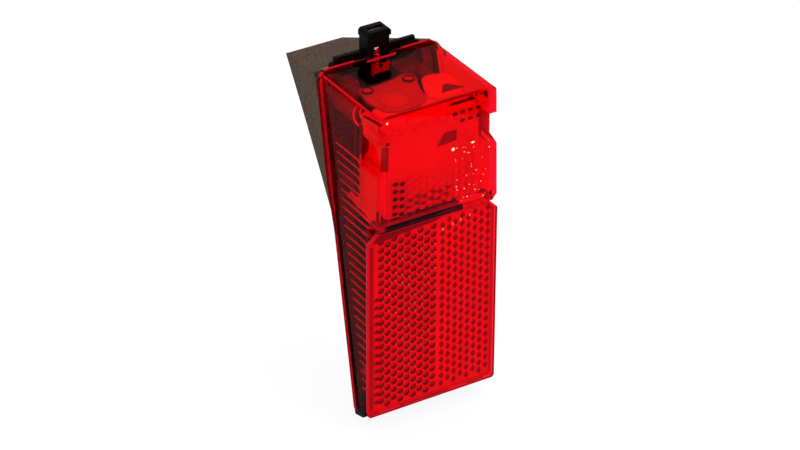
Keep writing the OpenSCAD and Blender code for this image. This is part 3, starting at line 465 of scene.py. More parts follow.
def latticeTree():  # rows and columns of one small piece, every other column shifted
    tree = bpy.data.node_groups.new("latticeOfPieces", "GeometryNodeTree")
    sockets = {}
    for label, kind in (("Columns", "Int"), ("Rows", "Int"), ("Column step", "Vector"), ("Row step", "Vector"),
                        ("Shift", "Float"), ("First", "Vector"), ("Piece", "Object"), ("Finish", "Material")):
        made = tree.interface.new_socket(label, in_out="INPUT", socket_type="NodeSocket" + kind)
        sockets[label] = made.identifier
    tree.interface.new_socket("Geometry", in_out="OUTPUT", socket_type="NodeSocketGeometry")
    given = tree.nodes.new("NodeGroupInput").outputs

    def maths(operation, a, b, kind="ShaderNodeMath", second=1):
        return put(tree, kind, {0: a, second: b}, operation=operation).outputs[0]

    def added(a, b):
        return maths("ADD", a, b, "ShaderNodeVectorMath")

    def scaled(vector, factor):
        return maths("SCALE", vector, factor, "ShaderNodeVectorMath", "Scale")

    index = put(tree, "GeometryNodeInputIndex").outputs[0]
    column = maths("FLOOR", maths("DIVIDE", index, given["Rows"]), 0.0)
    row = maths("SUBTRACT", index, maths("MULTIPLY", column, given["Rows"]))
    shifted = maths("ADD", row, maths("MULTIPLY", maths("MODULO", column, 2.0), given["Shift"]))
    across, along = scaled(given["Column step"], column), scaled(given["Row step"], shifted)
    spot = added(given["First"], added(across, along))
    count = maths("MULTIPLY", given["Columns"], given["Rows"])
    dots = put(tree, "GeometryNodePoints", {"Count": count, "Position": spot})
    shape = put(tree, "GeometryNodeObjectInfo", {"Object": given["Piece"]})
    many = put(tree, "GeometryNodeInstanceOnPoints",
               {"Points": dots.outputs[0], "Instance": shape.outputs["Geometry"]})
    real = put(tree, "GeometryNodeRealizeInstances", {"Geometry": many.outputs[0]})
    done = put(tree, "GeometryNodeSetMaterial", {"Geometry": real.outputs[0], "Material": given["Finish"]})
    tree.links.new(done.outputs[0], tree.nodes.new("NodeGroupOutput").inputs[0])
    return tree, sockets


lattice, latticeSockets = latticeTree()


def netted(name, cell, body, finish, first, counts, steps, shift=0.0, stands=()):  # steps in mm
    holder = placed(name + "Cell", cell)
    carrier = placed(name + "Carrier", bpy.data.meshes.new(name + "Carrier"))
    modifier = carrier.modifiers.new("lattice", "NODES")
    modifier.node_group = lattice
    for label, value in (("Columns", counts[0]), ("Rows", counts[1]), ("Column step", Vector(steps[0]) * mm),
                         ("Row step", Vector(steps[1]) * mm), ("Shift", shift), ("First", first),
                         ("Piece", holder), ("Finish", finish)):
        modifier[latticeSockets[label]] = value
    mesh = applied(carrier, name)
    carrier.modifiers.remove(modifier)
    for o in (holder, carrier):
        bpy.data.objects.remove(o)
    newPiece(name, mesh, body, finish, stands)


lensShape = {"ease": 0.22, "least": 0.55, "wall": 1.8, "gap": 8.5, "gapLow": 98, "roofEdge": 100.0, "rim": 1.75,
             "rimTop": 106.0, "rimOver": 0.03, "flare": 58.0, "tabY": (29.3, 31.05), "tabHalf": 5.1,
             "tabLow": 97, "tabFace": 103.6, "tabSide": 101, "ribX": (0.75, 0.02), "ribY": 4, "ribZ": (5, 91),
             "grooveX": 15, "grooveY": 9.5, "grooveZ": (78, 95), "grooveDeep": (2, 3.2),
             "frontY": 1, "frontZ": 64}
lensTurn = {"mostly": 0.7, "corner": 0.3, "roof": (0.5, 0.83), "side": 0.5, "slope": (0.3, 0.8), "front": 0.85}


def lensPart(spot, normal, index):  # place of a face's finish in the list below
    clear, edge, tab, shade, deep, glow, front = range(7)
    p, t = lensShape, lensTurn
    x, y, z = abs(spot.x) / mm, (spot.y - zero.y) / mm, (spot.z - zero.z) / mm
    w, v = rimSpot(spot)
    half, away = lensHalf(z), abs(normal.x)
    inside = half - p["wall"]
    if p["tabY"][0] < y < p["tabY"][1] and z > p["tabLow"] and x < p["tabHalf"]:
        face = normal.y < -t["mostly"] and z < p["tabFace"]
        return tab if face or away > t["mostly"] and z < p["tabSide"] else clear
    if x < p["gap"] and z > p["gapLow"]:
        return clear
    # rim along the top painted as a glow of light
    if w > -p["rim"] and v > p["rimTop"]:
        return edge
    # left rim: front flange above the flare painted as a glow, outer side painted in shade, deeper above the
    # flare
    if w > -p["rim"] and x > half + p["rimOver"]:
        face, high = abs(normal.dot(rimOut)) > t["mostly"], v > p["flare"]
        if spot.x > 0 or face and not high:
            return clear
        return edge if face else deep if high else shade
    # rib tops painted bright as lines of light
    if inside - p["ribX"][0] < x < inside - p["ribX"][1] and p["ribZ"][0] < z < p["ribZ"][1] and y > p["ribY"]:
        return glow if normal.z > t["mostly"] else clear
    # rounded roof edge: a painted highlight line on the left, painted shade on the right
    if z > p["roofEdge"] and normal.z > t["corner"] and away > t["corner"]:
        return clear if not t["roof"][0] < normal.z < t["roof"][1] else edge if spot.x < 0 else deep
    # groove floor and slopes on the right painted bright, standing in for light inside the wall
    if (spot.x > p["grooveX"] * mm and y < p["grooveY"] and p["grooveZ"][0] < z < p["grooveZ"][1]
            and away > t["side"]):
        floor = p["grooveDeep"][0] < half - x < p["grooveDeep"][1]
        if floor or t["slope"][0] < abs(normal.z) < t["slope"][1]:
            return glow
    if abs(normal.y) > t["front"] and y < p["frontY"] and z > p["frontZ"]:
        return front
    # bevels on the right side painted in deep shade as dark edge lines
    return deep if index and spot.x > 0 else index


fromSolid("lensShell", "lens_cover", "lens", [redLens, redEdge, redTab, redShade, redDeep, redGlow, redFront],
          "red_lens", lensShape["ease"], least=lensShape["least"], edge=1, sort=lensPart)
tabShape = {"spot": (-0.4, 29.42, 100.45), "profile": [(0, -0.05), (0.7, -0.05), (0.7, 0.15), (0, 0.15)]}
formed("tabHole", "lens", lipBlack, "red_lens", lathe, tabShape["profile"],
       at(fit(*tabShape["spot"]), forward), 24, angle=crispAngle)

plateShape = {"half": 22.5, "high": 63.5, "cut": 3.1, "corner": 1.2, "front": (0.0, 1.1), "back": (1.5, 2.1),
              "ease": 0.3, "inset": 0.4, "side": 0.35, "ground": 0.72, "line": (1.0, 1.4, 1.4, 1.0),
              "lineDeep": (-0.04, -0.04, 0.02, 0.02), "lineTone": 0.5, "sunk": 0.02, "shades": (
                  ([(-20.6, 59.6), (-20.4, 62.6), (4.0, 62.8), (2.0, 61.6), (-10.0, 61.0)], 0.45, 1, 0.16),
                  ([(-21.4, 2.0), (-20.0, 2.0), (-20.0, 59.0), (-21.4, 59.0)], 0.1, 0, 0.34))}


def plateOutline(p, inset):  # x and z of the reflector's outline, drawn in
    half, low, high, r = p["half"] - inset, inset, p["high"] - inset, p["corner"]
    corner = [(half - r + r * sin(t), low + r - r * cos(t)) for t in quarter(6)]
    right = corner + [(half, high - p["cut"]), (half - p["cut"], high)]
    return right + [(-x, z) for x, z in reversed(right)]


formed("reflectorPlate", "lens", [redPlate, redBorder], "red_reflector", drawnPlate,
       plateOutline(plateShape, 0), facing, plateShape["front"], plateShape["ease"], 0, 1,
       stands=["reflector_panel"], even=True)

prismShape = {"columnPitch": 2.27, "rowPitch": 2.785, "stand": 0.38, "lift": 0.005,
              "tones": [(0.0, (0.05, 0.002, 0.004)), (1.0, (0.95, 0.05, 0.09))], "grain": (1500, 0.04, 0.0001),
              "diamond": (0.98, 1.2), "diamondTones": (0.3, 0.22, 0.16, 0.1, 0.3),
              "bump": (1.22, 1.22 * 0.98), "bumpRings": ((1.0, 0.0), (0.55, 0.75)),
              "bumpTones": (0.14, 0.5, 0.36, 0.1, 0.06, 0.05, 0.08, 0.24, 0.22, 0.07, 0.04, 0.03, 0.5),
              "dash": (1.7, 0.62, 0.42), "dashRidge": 0.8, "dashTones": (0.22, 0.12, 0.25, 0.3, 0.3)}


# the prisms' retroreflection is painted into their colour, from painted shade to painted light
def prismFinish(p):
    material, tree, shader = startFinish("prismGlow", Roughness=0.3, gloss=0.0)
    tone = put(tree, "ShaderNodeAttribute", attribute_name="tone").outputs["Fac"]
    feed(tree, shader, ramp(tree, tone, p["tones"]))
    scale, depth, lift = p["grain"]
    relief(tree, shader, noise(tree, scale, 2), depth, lift)
    return material


def withTone(work, build):  # faces carry a tone, from painted shade to painted light
    build(work, work.faces.layers.float.new("tone"))
    outward(work)


def toned(tone, faces, shades):
    for face, shade in zip(faces, shades):
        face[tone] = shade


def diamondCell(work, tone):  # four-sided prism in painted shade, in the net painted bright
    p = prismShape
    wide, tall = (v * mm for v in p["diamond"])
    foot = [work.verts.new((x, 0, z)) for x, z in ((wide, 0), (0, tall), (-wide, 0), (0, -tall))]
    toned(tone, fan(work, foot, work.verts.new((0, -p["stand"] * mm, 0))), p["diamondTones"])


def bumpCell(work, tone):  # six-sided prism, with painted shade on its lower half
    p = prismShape
    wide, tall = (v * mm for v in p["bump"])
    turns = [around(1, k, 6) for k in range(6)]
    outer, inner = ([work.verts.new((wide * share * c, -p["stand"] * stand * mm, tall * share * s))
                     for c, s in turns] for share, stand in p["bumpRings"])
    tip = work.verts.new((0, -p["stand"] * mm, 0))
    tips = [work.faces.new((a, b, tip)) for a, b in looped(inner)]
    toned(tone, banded(work, outer, inner) + tips + [work.faces.new(outer)], p["bumpTones"])


def dashCell(work, tone):  # short ridge beside the field, its slopes in painted shade
    wide, tall, stand = (v * mm for v in prismShape["dash"])
    c = [work.verts.new((x, 0, z)) for x, z in ((-wide, -tall), (wide, -tall), (wide, tall), (-wide, tall))]
    a, b = (work.verts.new((x * prismShape["dashRidge"], -stand, 0)) for x in (-wide, wide))
    faces = ((c[0], c[1], b, a), (c[2], c[3], a, b), (c[1], c[2], b), (c[3], c[0], a), c)
    toned(tone, [work.faces.new(corners) for corners in faces], prismShape["dashTones"])


# backing whose ground is painted bright as the prisms' returned light
def backing(work, tone):
    p = plateShape
    face = p["back"][0]
    drawnPlate(work, plateOutline(p, p["inset"]), facing, p["back"])
    for f in work.faces:
        f[tone] = p["ground"] if abs(f.normal.y) > 0.9 else p["side"]
    rings = [[work.verts.new(facing(x, z, face + deep)) for x, z in plateOutline(p, inset)]
             for inset, deep in zip(p["line"], p["lineDeep"])]
    for a, b in looped(rings):  # darker line round the prism field
        for f in banded(work, a, b):
            f[tone] = p["lineTone"]
    for outline, stand, cuts, shade in p["shades"]:  # painted shadow under the chamber's edge, then a darker strip beside the field
        made = set(work.faces)
        drawnPlate(work, outline, facing, (face - stand, face + p["sunk"]), 0.05, cuts)
        for f in set(work.faces) - made:
            f[tone] = shade


prismGlow = prismFinish(prismShape)
newPiece("prismBacking", plainMesh("prismBacking", withTone, backing), "lens", prismGlow)
for name, cell, x, z, counts, shift in (("Left", bumpCell, -17.435, 4.19, (9, 21), -0.5),
                                        ("Right", diamondCell, 3.94, 3.42, (8, 21), 0.5),
                                        ("Edge", dashCell, -18.0, 4.19, (1, 14), 0.0)):
    netted("prismField" + name, plainMesh("prismCell" + name, withTone, cell), "lens", prismGlow,
           fit(x, plateShape["back"][0] - prismShape["lift"], z), counts,
           ((prismShape["columnPitch"], 0, 0), (0, 0, prismShape["rowPitch"])), shift)

pillowShape = {"stand": 0.4, "sunk": -0.05, "face": 0.24, "net": ((2.3, 0, 0), (0, 0, 2.5)), "row": (0, 0, 1)}


def pillow(work, p, wide, tall):  # low oval dome, its flat back on the inside of the front wall
    place = turnTo(backward) @ Matrix.Diagonal((wide, tall, 1, 1))
    dome = [(cos(t), p["stand"] * sin(t)) for t in quarter(3)[:-1]]
    lathe(work, [(0, p["sunk"]), (1, p["sunk"])] + dome + [(0, p["stand"])], place, 10)


net, row = pillowShape["net"], pillowShape["row"]
for name, finish, x, z, counts, steps, size, shift in (
        ("pillowsLow", redGlow, -8.6, 68.6, (11, 5), net, (0.85, 0.85), 0.5),
        ("pillowsTop", redGlow, -15.6, 94.6, (10, 3), net, (0.9, 0.8), 0.5),
        ("pillowsSide", redGlow, 9.4, 81.2, (3, 4), net, (0.8, 0.8), 0.5),
        ("pillowsDark", redDeep, -13.6, 68.9, (2, 5), ((2.35, 0, 0), (0.06, 0, 2.5)), (0.95, 0.68), -0.2),
        ("pillowsFoot", redDeep, -8.6, 67.5, (6, 1), ((3.05, 0, 0), row), (0.8, 1.0), 0.0),
        ("pillowsStep", redShade, -8.9, 69.8, (6, 2), ((2.6, 0, 0), (0.5, 0, 2.2)), (0.95, 0.6), 0.3),
        ("pillowsUpper", redDeep, 9.5, 93.6, (3, 1), ((2.7, 0, 0), row), (0.85, 0.5), 0.0),
        ("pillowsRoof", redDeep, 6.9, 96.3, (4, 1), ((2.67, 0, 0), row), (0.8, 0.6), 0.0),
        ("pillowsCorner", redDeep, 12.5, 100.6, (3, 1), ((1.7, 0, 0), row), (0.6, 0.36), 0.0),
        ("pillowsDot", redDeep, -16.0, 93.0, (1, 1), net, (0.75, 0.5), 0.0)):
    cell = softened(plainMesh(name + "Cell", pillow, pillowShape, *size), wireAngle)
    netted(name, cell, "lens", finish, fit(x, pillowShape["face"], z), counts, steps, shift)


def oblong(x0, z0, x1, z1):
    return [(x0, z0), (x1, z0), (x1, z1), (x0, z1)]


chamberMarks = {"inner": (0.24, 0.6), "flat": (
    ("Slit", lipBlack, [(-16.4, 64.5), (-1.0, 64.5), (8.8, 65.0), (-1.0, 65.4), (-16.4, 65.4)], 0),
    # the sill is painted in shade on the left and painted lit on the right
    ("SillLeft", redShade, oblong(-18.0, 65.5, 8.4, 66.9), 0),
    ("SillRight", redGlow, oblong(8.5, 65.5, 18.0, 66.9), 0),
    ("Slot", redDeep, oblong(5.0, 99.2, 14.0, 100.2), 2),
    ("Bar", redShade, [(-17.8, 92.3), (-15.7, 91.7), (-15.8, 83.9), (-18.0, 84.5)], 0),
    ("Notch", redShade, [(1.1, 87.2), (3.7, 90.9), (7.5, 91.0), (7.5, 87.6)], 0),
    ("Shade", redDeep, [(16.6, 101.0), (18.2, 101.0), (18.2, 98.2), (17.4, 98.8)], 1)),
    "blocks": (("chamberCornerLeft", redTab, (-19.4, -1.2, 64.8), (-17.6, 3.6, 66.0), 0.15),
               ("chamberCornerRight", redTab, (17.6, -1.2, 64.8), (19.4, 3.6, 66.0), 0.15),
               ("roofLine", redShade, (-17.0, -1.2, 102.0), (15.0, -0.6, 102.6), 0.1))}
for name, finish, outline, cuts in chamberMarks["flat"]:  # behind the front wall
    formed("chamber" + name, "lens", finish, "red_lens", drawnPlate, outline, facing, chamberMarks["inner"],
           0.1, cuts)
for name, finish, low, high, ease in chamberMarks["blocks"]:
    formed(name, "lens", finish, "red_lens", slab, low, high, ease)

arcShape = {"x": -17.9, "radius": 0.3, "rounds": 3, "lines": (
    ("Outer", redGlow, [(12.4, 100.9), (13.75, 99.66), (14.96, 97.53), (15.21, 95.52), (14.17, 94.45),
                        (12.2, 94.0)]),
    ("Inner", redGlow, [(10.4, 100.9), (11.5, 99.16), (11.4, 97.5), (9.4, 97.2), (5.0, 97.55), (1.2, 98.1)]),
    ("Streak", redDeep, [(9.4, 98.5), (6.2, 98.9), (2.3, 99.3), (0.7, 99.5)]))}


def curve(points):  # points between the given ones, corners cut
    for _ in range(arcShape["rounds"]):
        cut = [a.lerp(b, t) for a, b in zip(points, points[1:]) for t in cornerCuts]
        points = [points[0]] + cut[1:-1] + [points[-1]]
    return points


for name, finish, line in arcShape["lines"]:
    path = curve([fit(arcShape["x"], y, z) for y, z in line])
    formed("chamberArc" + name, "lens", finish, "red_lens", sweep, path, arcShape["radius"], 8,
           angle=wireAngle)

sparkShape = {"seed": 11, "count": 34, "x": (5.5, 18.0), "z": (67.0, 86.0), "size": (0.11, 0.24), "stand": 0.1,
              "sunk": 0.005, "chamberFace": -1.6, "plateFace": 0.0,
              "big": ((5.4, 85.8, 0.66, 0.66), (12.2, 86.2, 0.85, 0.36), (-17.2, 100.9, 0.42, 0.42)),
              "glints": (8, 15), "glintFrom": (-15.4, 14.1), "glintSize": (0.1, 0.19), "glintTall": 1.2,
              "chance": 0.62, "astray": (-0.12, 0.12), "faint": (34.0, 0.65), "streak": (0.18, 0.62),
              "streaks": ((3.2, 58.6), (6.6, 59.4), (9.4, 60.0), (12.6, 60.6))}


def sparks(work, p, spots, face):  # tiny facets on a front face, their pale colour a painted glint
    turns = [around(1, k, 4) for k in range(4)]
    for x, z, wide, tall in spots:
        ring = [work.verts.new(fit(x + wide * c, face + p["sunk"], z + tall * s)) for c, s in turns]
        fan(work, ring, work.verts.new(fit(x, face - p["stand"], z)))
    outward(work)


def sparkSpots(p):  # painted glints: on the chamber's front, scattered; on the reflector, one over most prisms
    draw = random.Random(p["seed"])
    chamber = list(p["big"])
    for _ in range(p["count"]):
        size = draw.uniform(*p["size"])
        chamber.append((draw.uniform(*p["x"]), draw.uniform(*p["z"]), size, size))
    plate = [(*spot, *p["streak"]) for spot in p["streaks"]]
    for column in range(p["glints"][0]):
        for row in range(p["glints"][1]):
            if draw.random() < p["chance"]:
                z = p["glintFrom"][1] + (row + column % 2 * 0.5) * prismShape["rowPitch"]
                size = draw.uniform(*p["glintSize"]) * (1 if z > p["faint"][0] else p["faint"][1])
                x = p["glintFrom"][0] + column * prismShape["columnPitch"] + draw.uniform(*p["astray"])
                plate.append((x, z, size, size * p["glintTall"]))
    return chamber, plate


chamberSpots, plateSpots = sparkSpots(sparkShape)
formed("chamberSparks", "lens", sparkPale, "red_lens", sparks, sparkShape, chamberSpots,
       sparkShape["chamberFace"], angle=crispAngle)
# painted glints on the reflector's face
formed("plateGlints", "lens", glintWarm, "red_reflector", sparks, sparkShape, plateSpots,
       sparkShape["plateFace"], angle=crispAngle)
print("lens and reflector done")

fromSolid("sealBand", "lens_seal", "base", sealSoft, "seal_rubber", 0.12)
joinShape = {"rim": (0.6, 3.45), "side": 18.5, "taper": 0.095, "taperTop": 60, "top": 103, "turn": 0.93}


def joinPart(spot, normal, index):  # 1 on faces in the joint between lens rim and foot, painted black as shade
    p, (w, v) = joinShape, rimSpot(spot)
    outer = abs(spot.x) / mm > p["side"] - p["taper"] * max(0, p["taperTop"] - v) or v > p["top"]
    return 1 if p["rim"][0] < w < p["rim"][1] and outer and abs(normal.dot(rimOut)) < p["turn"] else 0


fromSolid("basePlate", "base_plate", "base", [baseGrain, sealRubber], "base_plastic", sort=joinPart)
fromSolid("footShell", "foot_housing", "base", [footGrain, sealRubber], "foot_plastic", 0.5, 3, sort=joinPart)
fromSolid("saddlePad", "saddle_pad", "base", padRubber, "pad_rubber", 0.3)
fromSolid("hingeLip", "hinge_bar", "base", lipBlack, "hinge_plastic")
fromSolid("latchSlide", "release_latch", "latch", latchSatin, "latch_plastic", 0.22, 3)

slotWire = {"radius": 0.22, "path": [fit(0.55 * k, 33.3, 110.9) for k in range(-4, 5)]}
formed("latchSlotWire", "latch", springWire, "spring_steel", sweep, slotWire["path"], slotWire["radius"],
       angle=wireAngle)


def coil(place, radius, length, curls, wire):  # one closed curl at each end
    steps, close, path = 20, 0.45, []
    for k in range(-steps, (curls + 1) * steps + 1):
        t = k / steps
        ends = wire * close * (min(t, 0) + max(t - curls, 0))
        z = wire + (length - 2 * wire) * min(max(t / curls, 0), 1) + ends
        path.append(place @ (Vector((*around(radius, t, 1), z)) * mm))
    return path


low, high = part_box("latch_spring")
springFoot = Vector(((low.x + high.x) / 2, (low.y + high.y) / 2, low.z))
latchSpring = {"radius": 1.25, "length": (high.z - low.z) / mm, "curls": 6, "wire": 0.5}
springPath = coil(Matrix.Translation(springFoot), *latchSpring.values())
spring = formed("latchCoil", "base", springWire, "spring_steel", sweep, springPath, latchSpring["wire"] / 2,
                stands=["latch_spring"], angle=wireAngle)
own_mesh(spring)

pinShape = {"spot": (-20.2, -1.5, -2.0), "profile": [(0, 0), (0.45, 0), (0.6, 0.15), (0.6, 41.05), (0.45, 41.2),
                                                     (0, 41.2)]}
formed("hingePin", "base", pinSteel, "pin_steel", lathe, pinShape["profile"],
       at(onRim(*pinShape["spot"]), rightward), 24, stands=["hinge_pin"], angle=crispAngle)
print("base, foot and latch done")

studShape = {"axis": (0, 0.882948, -0.469472), "radius": 2.5, "pitch": 0.8, "deep": 0.42, "long": 14.0,
             "tip": 0.8, "perTurn": 8, "neck": 2.8, "neckSpan": (-6.2, -0.05), "neckEase": 0.3, "flats": 8.0,
             "headSpan": (-9.5, -6.0), "headEase": 0.45}


def threadedRod(work, place, p, steps=28):  # true helix, with a chamfered tip
    rows = int(p["long"] / p["pitch"] * p["perTurn"])
    rings = []
    for r in range(rows + 1):
        z = p["long"] * r / rows
        ring = []
        for k in range(steps):
            turn = (z / p["pitch"] - k / steps) % 1.0
            radius = p["radius"] - p["deep"] * abs(2 * turn - 1)
            radius = min(radius, p["radius"] - max(0, z - p["long"] + p["tip"]))
            ring.append(work.verts.new(place @ Vector((*around(radius * mm, k, steps), z * mm))))
        rings.append(ring)
    tube(work, rings)


def stud(work, p):
    place = turnTo(Vector(p["axis"]))
    threadedRod(work, place, p)
    n, corner = p["neck"], p["flats"] / 2 / cos(pi / 6)
    for outline, span, ease in ((oblong(-n, -n, n, n), p["neckSpan"], p["neckEase"]),
                                ([around(corner, k, 6) for k in range(6)], p["headSpan"], p["headEase"])):
        drawnPlate(work, outline, lambda u, v, d: place @ (Vector((u, v, d)) * mm), span, ease)


formed("mountStud", "base", studZinc, "stud_steel", stud, studShape, stands=["mount_stud"])

buttonShape = {"spot": (14.197, 16.0, 79.995), "way": (0.96002, 0.23689, -0.14913), "profile": [
    (0, -3.5), (5.0, -3.5), (5.2, -3.3), (5.2, -2.5), (5.0, -2.3), (4.0, -2.3), (4.0, 0.8), (3.88, 1.12),
    (3.6, 1.34), (3.25, 1.4), (2.95, 1.4), (2.8, 1.12), (2.45, 1.12), (2.3, 1.36), (1.95, 1.36), (1.8, 1.1),
    (1.45, 1.1), (1.3, 1.32), (0.9, 1.32), (0, 1.22)]}
buttonPlace = at(onRim(*buttonShape["spot"]), Vector(buttonShape["way"]))
formed("pushButton", "button", buttonRubber, "button_rubber", lathe, buttonShape["profile"], buttonPlace, 56,
       stands=["switch_button"], angle=crispAngle)
fromSolid("switchCase", "switch_body", "base", trayBlack, "button_rubber", 0.3)
fromSolid("switchBoard", "switch_board", "base", boardGreen, "board_green", 0.12)

screwShape = {"crown": 0.35, "recess": 0.55, "kinds": (
    ("footScrew", "foot_screws", rimOut, (2.0, 1.4, 1.25, 6.2), (onRim(-15.9, 0.7, 10), onRim(-11, 0.7, 62.6))),
    ("boardScrew", "board_screws", forward, (1.7, 1.2, 0.9, 7.0),
     (fit(-14.4, 14.8, 70.9), fit(-14.4, 14.8, 93.1))))}


def screw(work, place, r, tall, shank, long):  # crowned head with a round recess, then the shank
    crown, recess = screwShape["crown"], screwShape["recess"]
    lathe(work, [(0, -long), (shank * 0.55, -long), (shank, shank - long), (shank, -0.02), (r, 0),
                 (r, tall - crown), (r * 0.9, tall - crown * 0.45), (r * 0.62, tall - crown * 0.1),
                 (r * 0.5, tall), (r * 0.36, tall - 0.02), (r * 0.2, tall - recess + 0.05), (0, tall - recess)],
          place, 20)


for name, node, way, size, spots in screwShape["kinds"]:
    for n, spot in enumerate(spots):  # each a pair, left and right
        cell = softened(plainMesh(name + "Cell", screw, turnTo(way), *size), sharpAngle)
        netted(name + str(n), cell, "base", screwZinc, spot, (2, 1),
               ((abs(spot.x) * 2 / mm, 0, 0), (0, 0, 1)), stands=[node])
print("mount, switch and screws done")

unitShape = {"lamp": 7.8, "height": 82.0, "bowl": (3.0, 7.42), "turn": (0.02, 0.97),
             "window": ((-15.6, 1.1, 67.0), (15.6, 1.9, 95.4), 0.3, 3)}


def unitPart(spot, normal, index):  # 1 inside the two bowls
    p = unitShape
    away = hypot(abs(spot.x) / mm - p["lamp"], (spot.z - zero.z) / mm - p["height"])
    return 1 if p["bowl"][0] < away < p["bowl"][1] and p["turn"][0] < abs(normal.y) < p["turn"][1] else 0


fromSolid("bowlBlock", "reflector_bowls", "base", [unitWhite, bowlMirror], "bright_bowl", 0.2, sort=unitPart)
formed("bowlWindow", "base", unitWhite, "bright_bowl", slab, *unitShape["window"], even=True)

deckShape = {"ease": 0.15, "top": 96.8, "plates": (
    ("Left", deckGrey, (96.0, 96.8), 1, [
        (-10.9, 22.6), (-10.6, 25.2), (-8.6, 26.6), (-6.2, 25.6), (-4.6, 25.2), (1.2, 26.0), (4.2, 27.0),
        (6.2, 27.2), (8.4, 25.6), (8.2, 22.6), (6.9, 20.4), (5.8, 17.0), (3.6, 9.0), (-9.7, 9.0),
        (-11.6, 16.5), (-11.7, 19.6)]),
    ("Right", unitWhite, (96.0, 96.8), 1, [
        (4.0, 9.0), (8.15, 20.8), (10.45, 23.25), (16.45, 22.0), (17.5, 20.7), (17.5, 9.0)]),
    # the dark triangle on the right deck is painted shade
    ("Window", baseGrain, (96.75, 96.92), 0, [(9.5, 11.4), (13.2, 16.3), (17.2, 11.3)])),
    "domes": ((deckPale, -4.6, 14.4, 3.9), (unitWhite, 12.2, 18.4, 3.2)), "posts": ((-8.6, 23.4), (5.7, 23.5)),
    "post": [(0, -0.1), (1.9, -0.1), (1.9, 0.5), (1.8, 0.6), (1.55, 0.6), (1.5, 0.3), (0, 0.3)],
    "postBand": (1, 1, 1, 1, 1, 0)}


def deckDome(work, x, y, r):  # the back of a bowl, stepped like the moulding
    steps = [(r, 0), (r, 0.35), (r - 0.35, 0.4), (r - 0.4, 0.3), (r * 0.8, 0.34), (r * 0.62, 0.62),
             (r * 0.58, 0.5), (r * 0.3, 0.66)]
    lathe(work, [(0, -0.1), (r, -0.1)] + steps + [(0, 0.7)], at(fit(x, y, deckShape["top"]), upward), 40)


for name, finish, span, cuts, outline in deckShape["plates"]:
    formed("deck" + name, "base", finish, "bright_bowl", drawnPlate, outline, fit, span, deckShape["ease"],
           cuts)
for n, (finish, x, y, r) in enumerate(deckShape["domes"]):
    formed("deckDome" + str(n), "base", finish, "bright_bowl", deckDome, x, y, r)
for n, (x, y) in enumerate(deckShape["posts"]):
    formed("deckPost" + str(n), "base", [deckGrey, trayBlack], "bright_bowl", lathe, deckShape["post"],
           at(fit(x, y, deckShape["top"]), upward), 28, deckShape["postBand"])

cheekShape = {"x": 15.6, "y": 8.6, "wide": 2.3, "deep": 6.0, "span": (67.6, 83.4), "ease": 0.5, "steps": 14}


def cheek(work, c, side):  # rounded end of the reflector block
    turns = [pi * (k / c["steps"] - 0.5) for k in range(c["steps"] + 1)]
    arc = [(side * (c["x"] + c["wide"] * cos(t)), c["y"] + c["deep"] * sin(t)) for t in turns]
    drawnPlate(work, arc, fit, c["span"], c["ease"])


for side, label in flanks:
    formed("unitCheek" + label, "base", unitWhite, "bright_bowl", cheek, cheekShape, side)

flankShape = {"span": (15.65, 15.95), "outline": [
    (1.6, 67.2), (1.6, 95.4), (14.0, 95.4), (13.1, 90.0), (15.9, 80.3), (13.9, 72.8), (21.6, 66.2),
    (18.8, 64.5), (7.5, 63.2), (4.5, 64.0), (4.5, 67.2)]}
# flanks take the white painted brighter, as painted light
for side, label in flanks:
    formed("unitFlank" + label, "base", flankWhite, "bright_bowl", drawnPlate, flankShape["outline"],
           flanking(side), flankShape["span"])

shadeShape = {"span": (15.97, 16.12), "ease": 0.05, "outline": [
    (12.1, 92.9), (10.9, 90.1), (10.5, 87.0), (11.7, 84.5), (15.3, 80.9), (15.6, 88.0), (15.2, 93.2)]}
formed("unitShade", "base", baseGrain, "bright_bowl", drawnPlate, shadeShape["outline"], flanking(-1),
       shadeShape["span"], shadeShape["ease"], 1)

lampShape = {"foot": 14.8, "radius": 2.5, "long": 8.6,
             "flange": [(0, 0), (2.9, 0), (2.9, 0.9), (2.8, 1.0), (2.5, 1.0)]}


def lampForm(work, p):
    r, l = p["radius"], p["long"]
    profile = p["flange"] + [(r * cos(t), l - r + r * sin(t)) for t in quarter(8)[:-1]] + [(0, l)]
    for side, _ in flanks:
        lathe(work, profile, at(fit(side * unitShape["lamp"], p["foot"], unitShape["height"]), forward), 32)


formed("lampPair", "base", lampResin, "lamp_resin", lampForm, lampShape, stands=["lamps"])
fromSolid("lampBoard", "lamp_board", "base", boardGreen, "board_green", 0.12)
fromSolid("driverChip", "driver_chip", "base", chipEpoxy, "chip_black", 0.18)
leadShape = {"size": (0.9, 0.3, 0.42), "ease": 0.06, "first": (3.6, 16.7, 74.7),
             "steps": ((6.8, 0, 0), (0, 0, 1.2))}


def lead(work, p):
    bmesh.ops.create_cube(work, size=1, matrix=Matrix.Diagonal((*(v * mm for v in p["size"]), 1)))
    rounded(work, list(work.edges), p["ease"], 1)


leadMesh = softened(plainMesh("chipLead", lead, leadShape), crispAngle)
netted("chipLeads", leadMesh, "base", contactNickel, fit(*leadShape["first"]), (2, 4),
       leadShape["steps"])
canShape = {"spot": (-6, 16.4, 78), "band": (0,) * 8 + (1,) * 2, "profile": [
    (0, 0), (2.8, 0), (3.0, 0.2), (3.0, 0.9), (2.75, 1.15), (3.0, 1.4), (3.0, 5.15), (2.8, 5.4), (2.3, 5.5),
    (2.2, 5.42), (0, 5.42)]}
formed("bufferCan", "base", [canSleeve, cellSteel], "can_sleeve", lathe, canShape["profile"],
       at(fit(*canShape["spot"]), backward), 40, canShape["band"], stands=["buffer_capacitor"],
       angle=crispAngle)

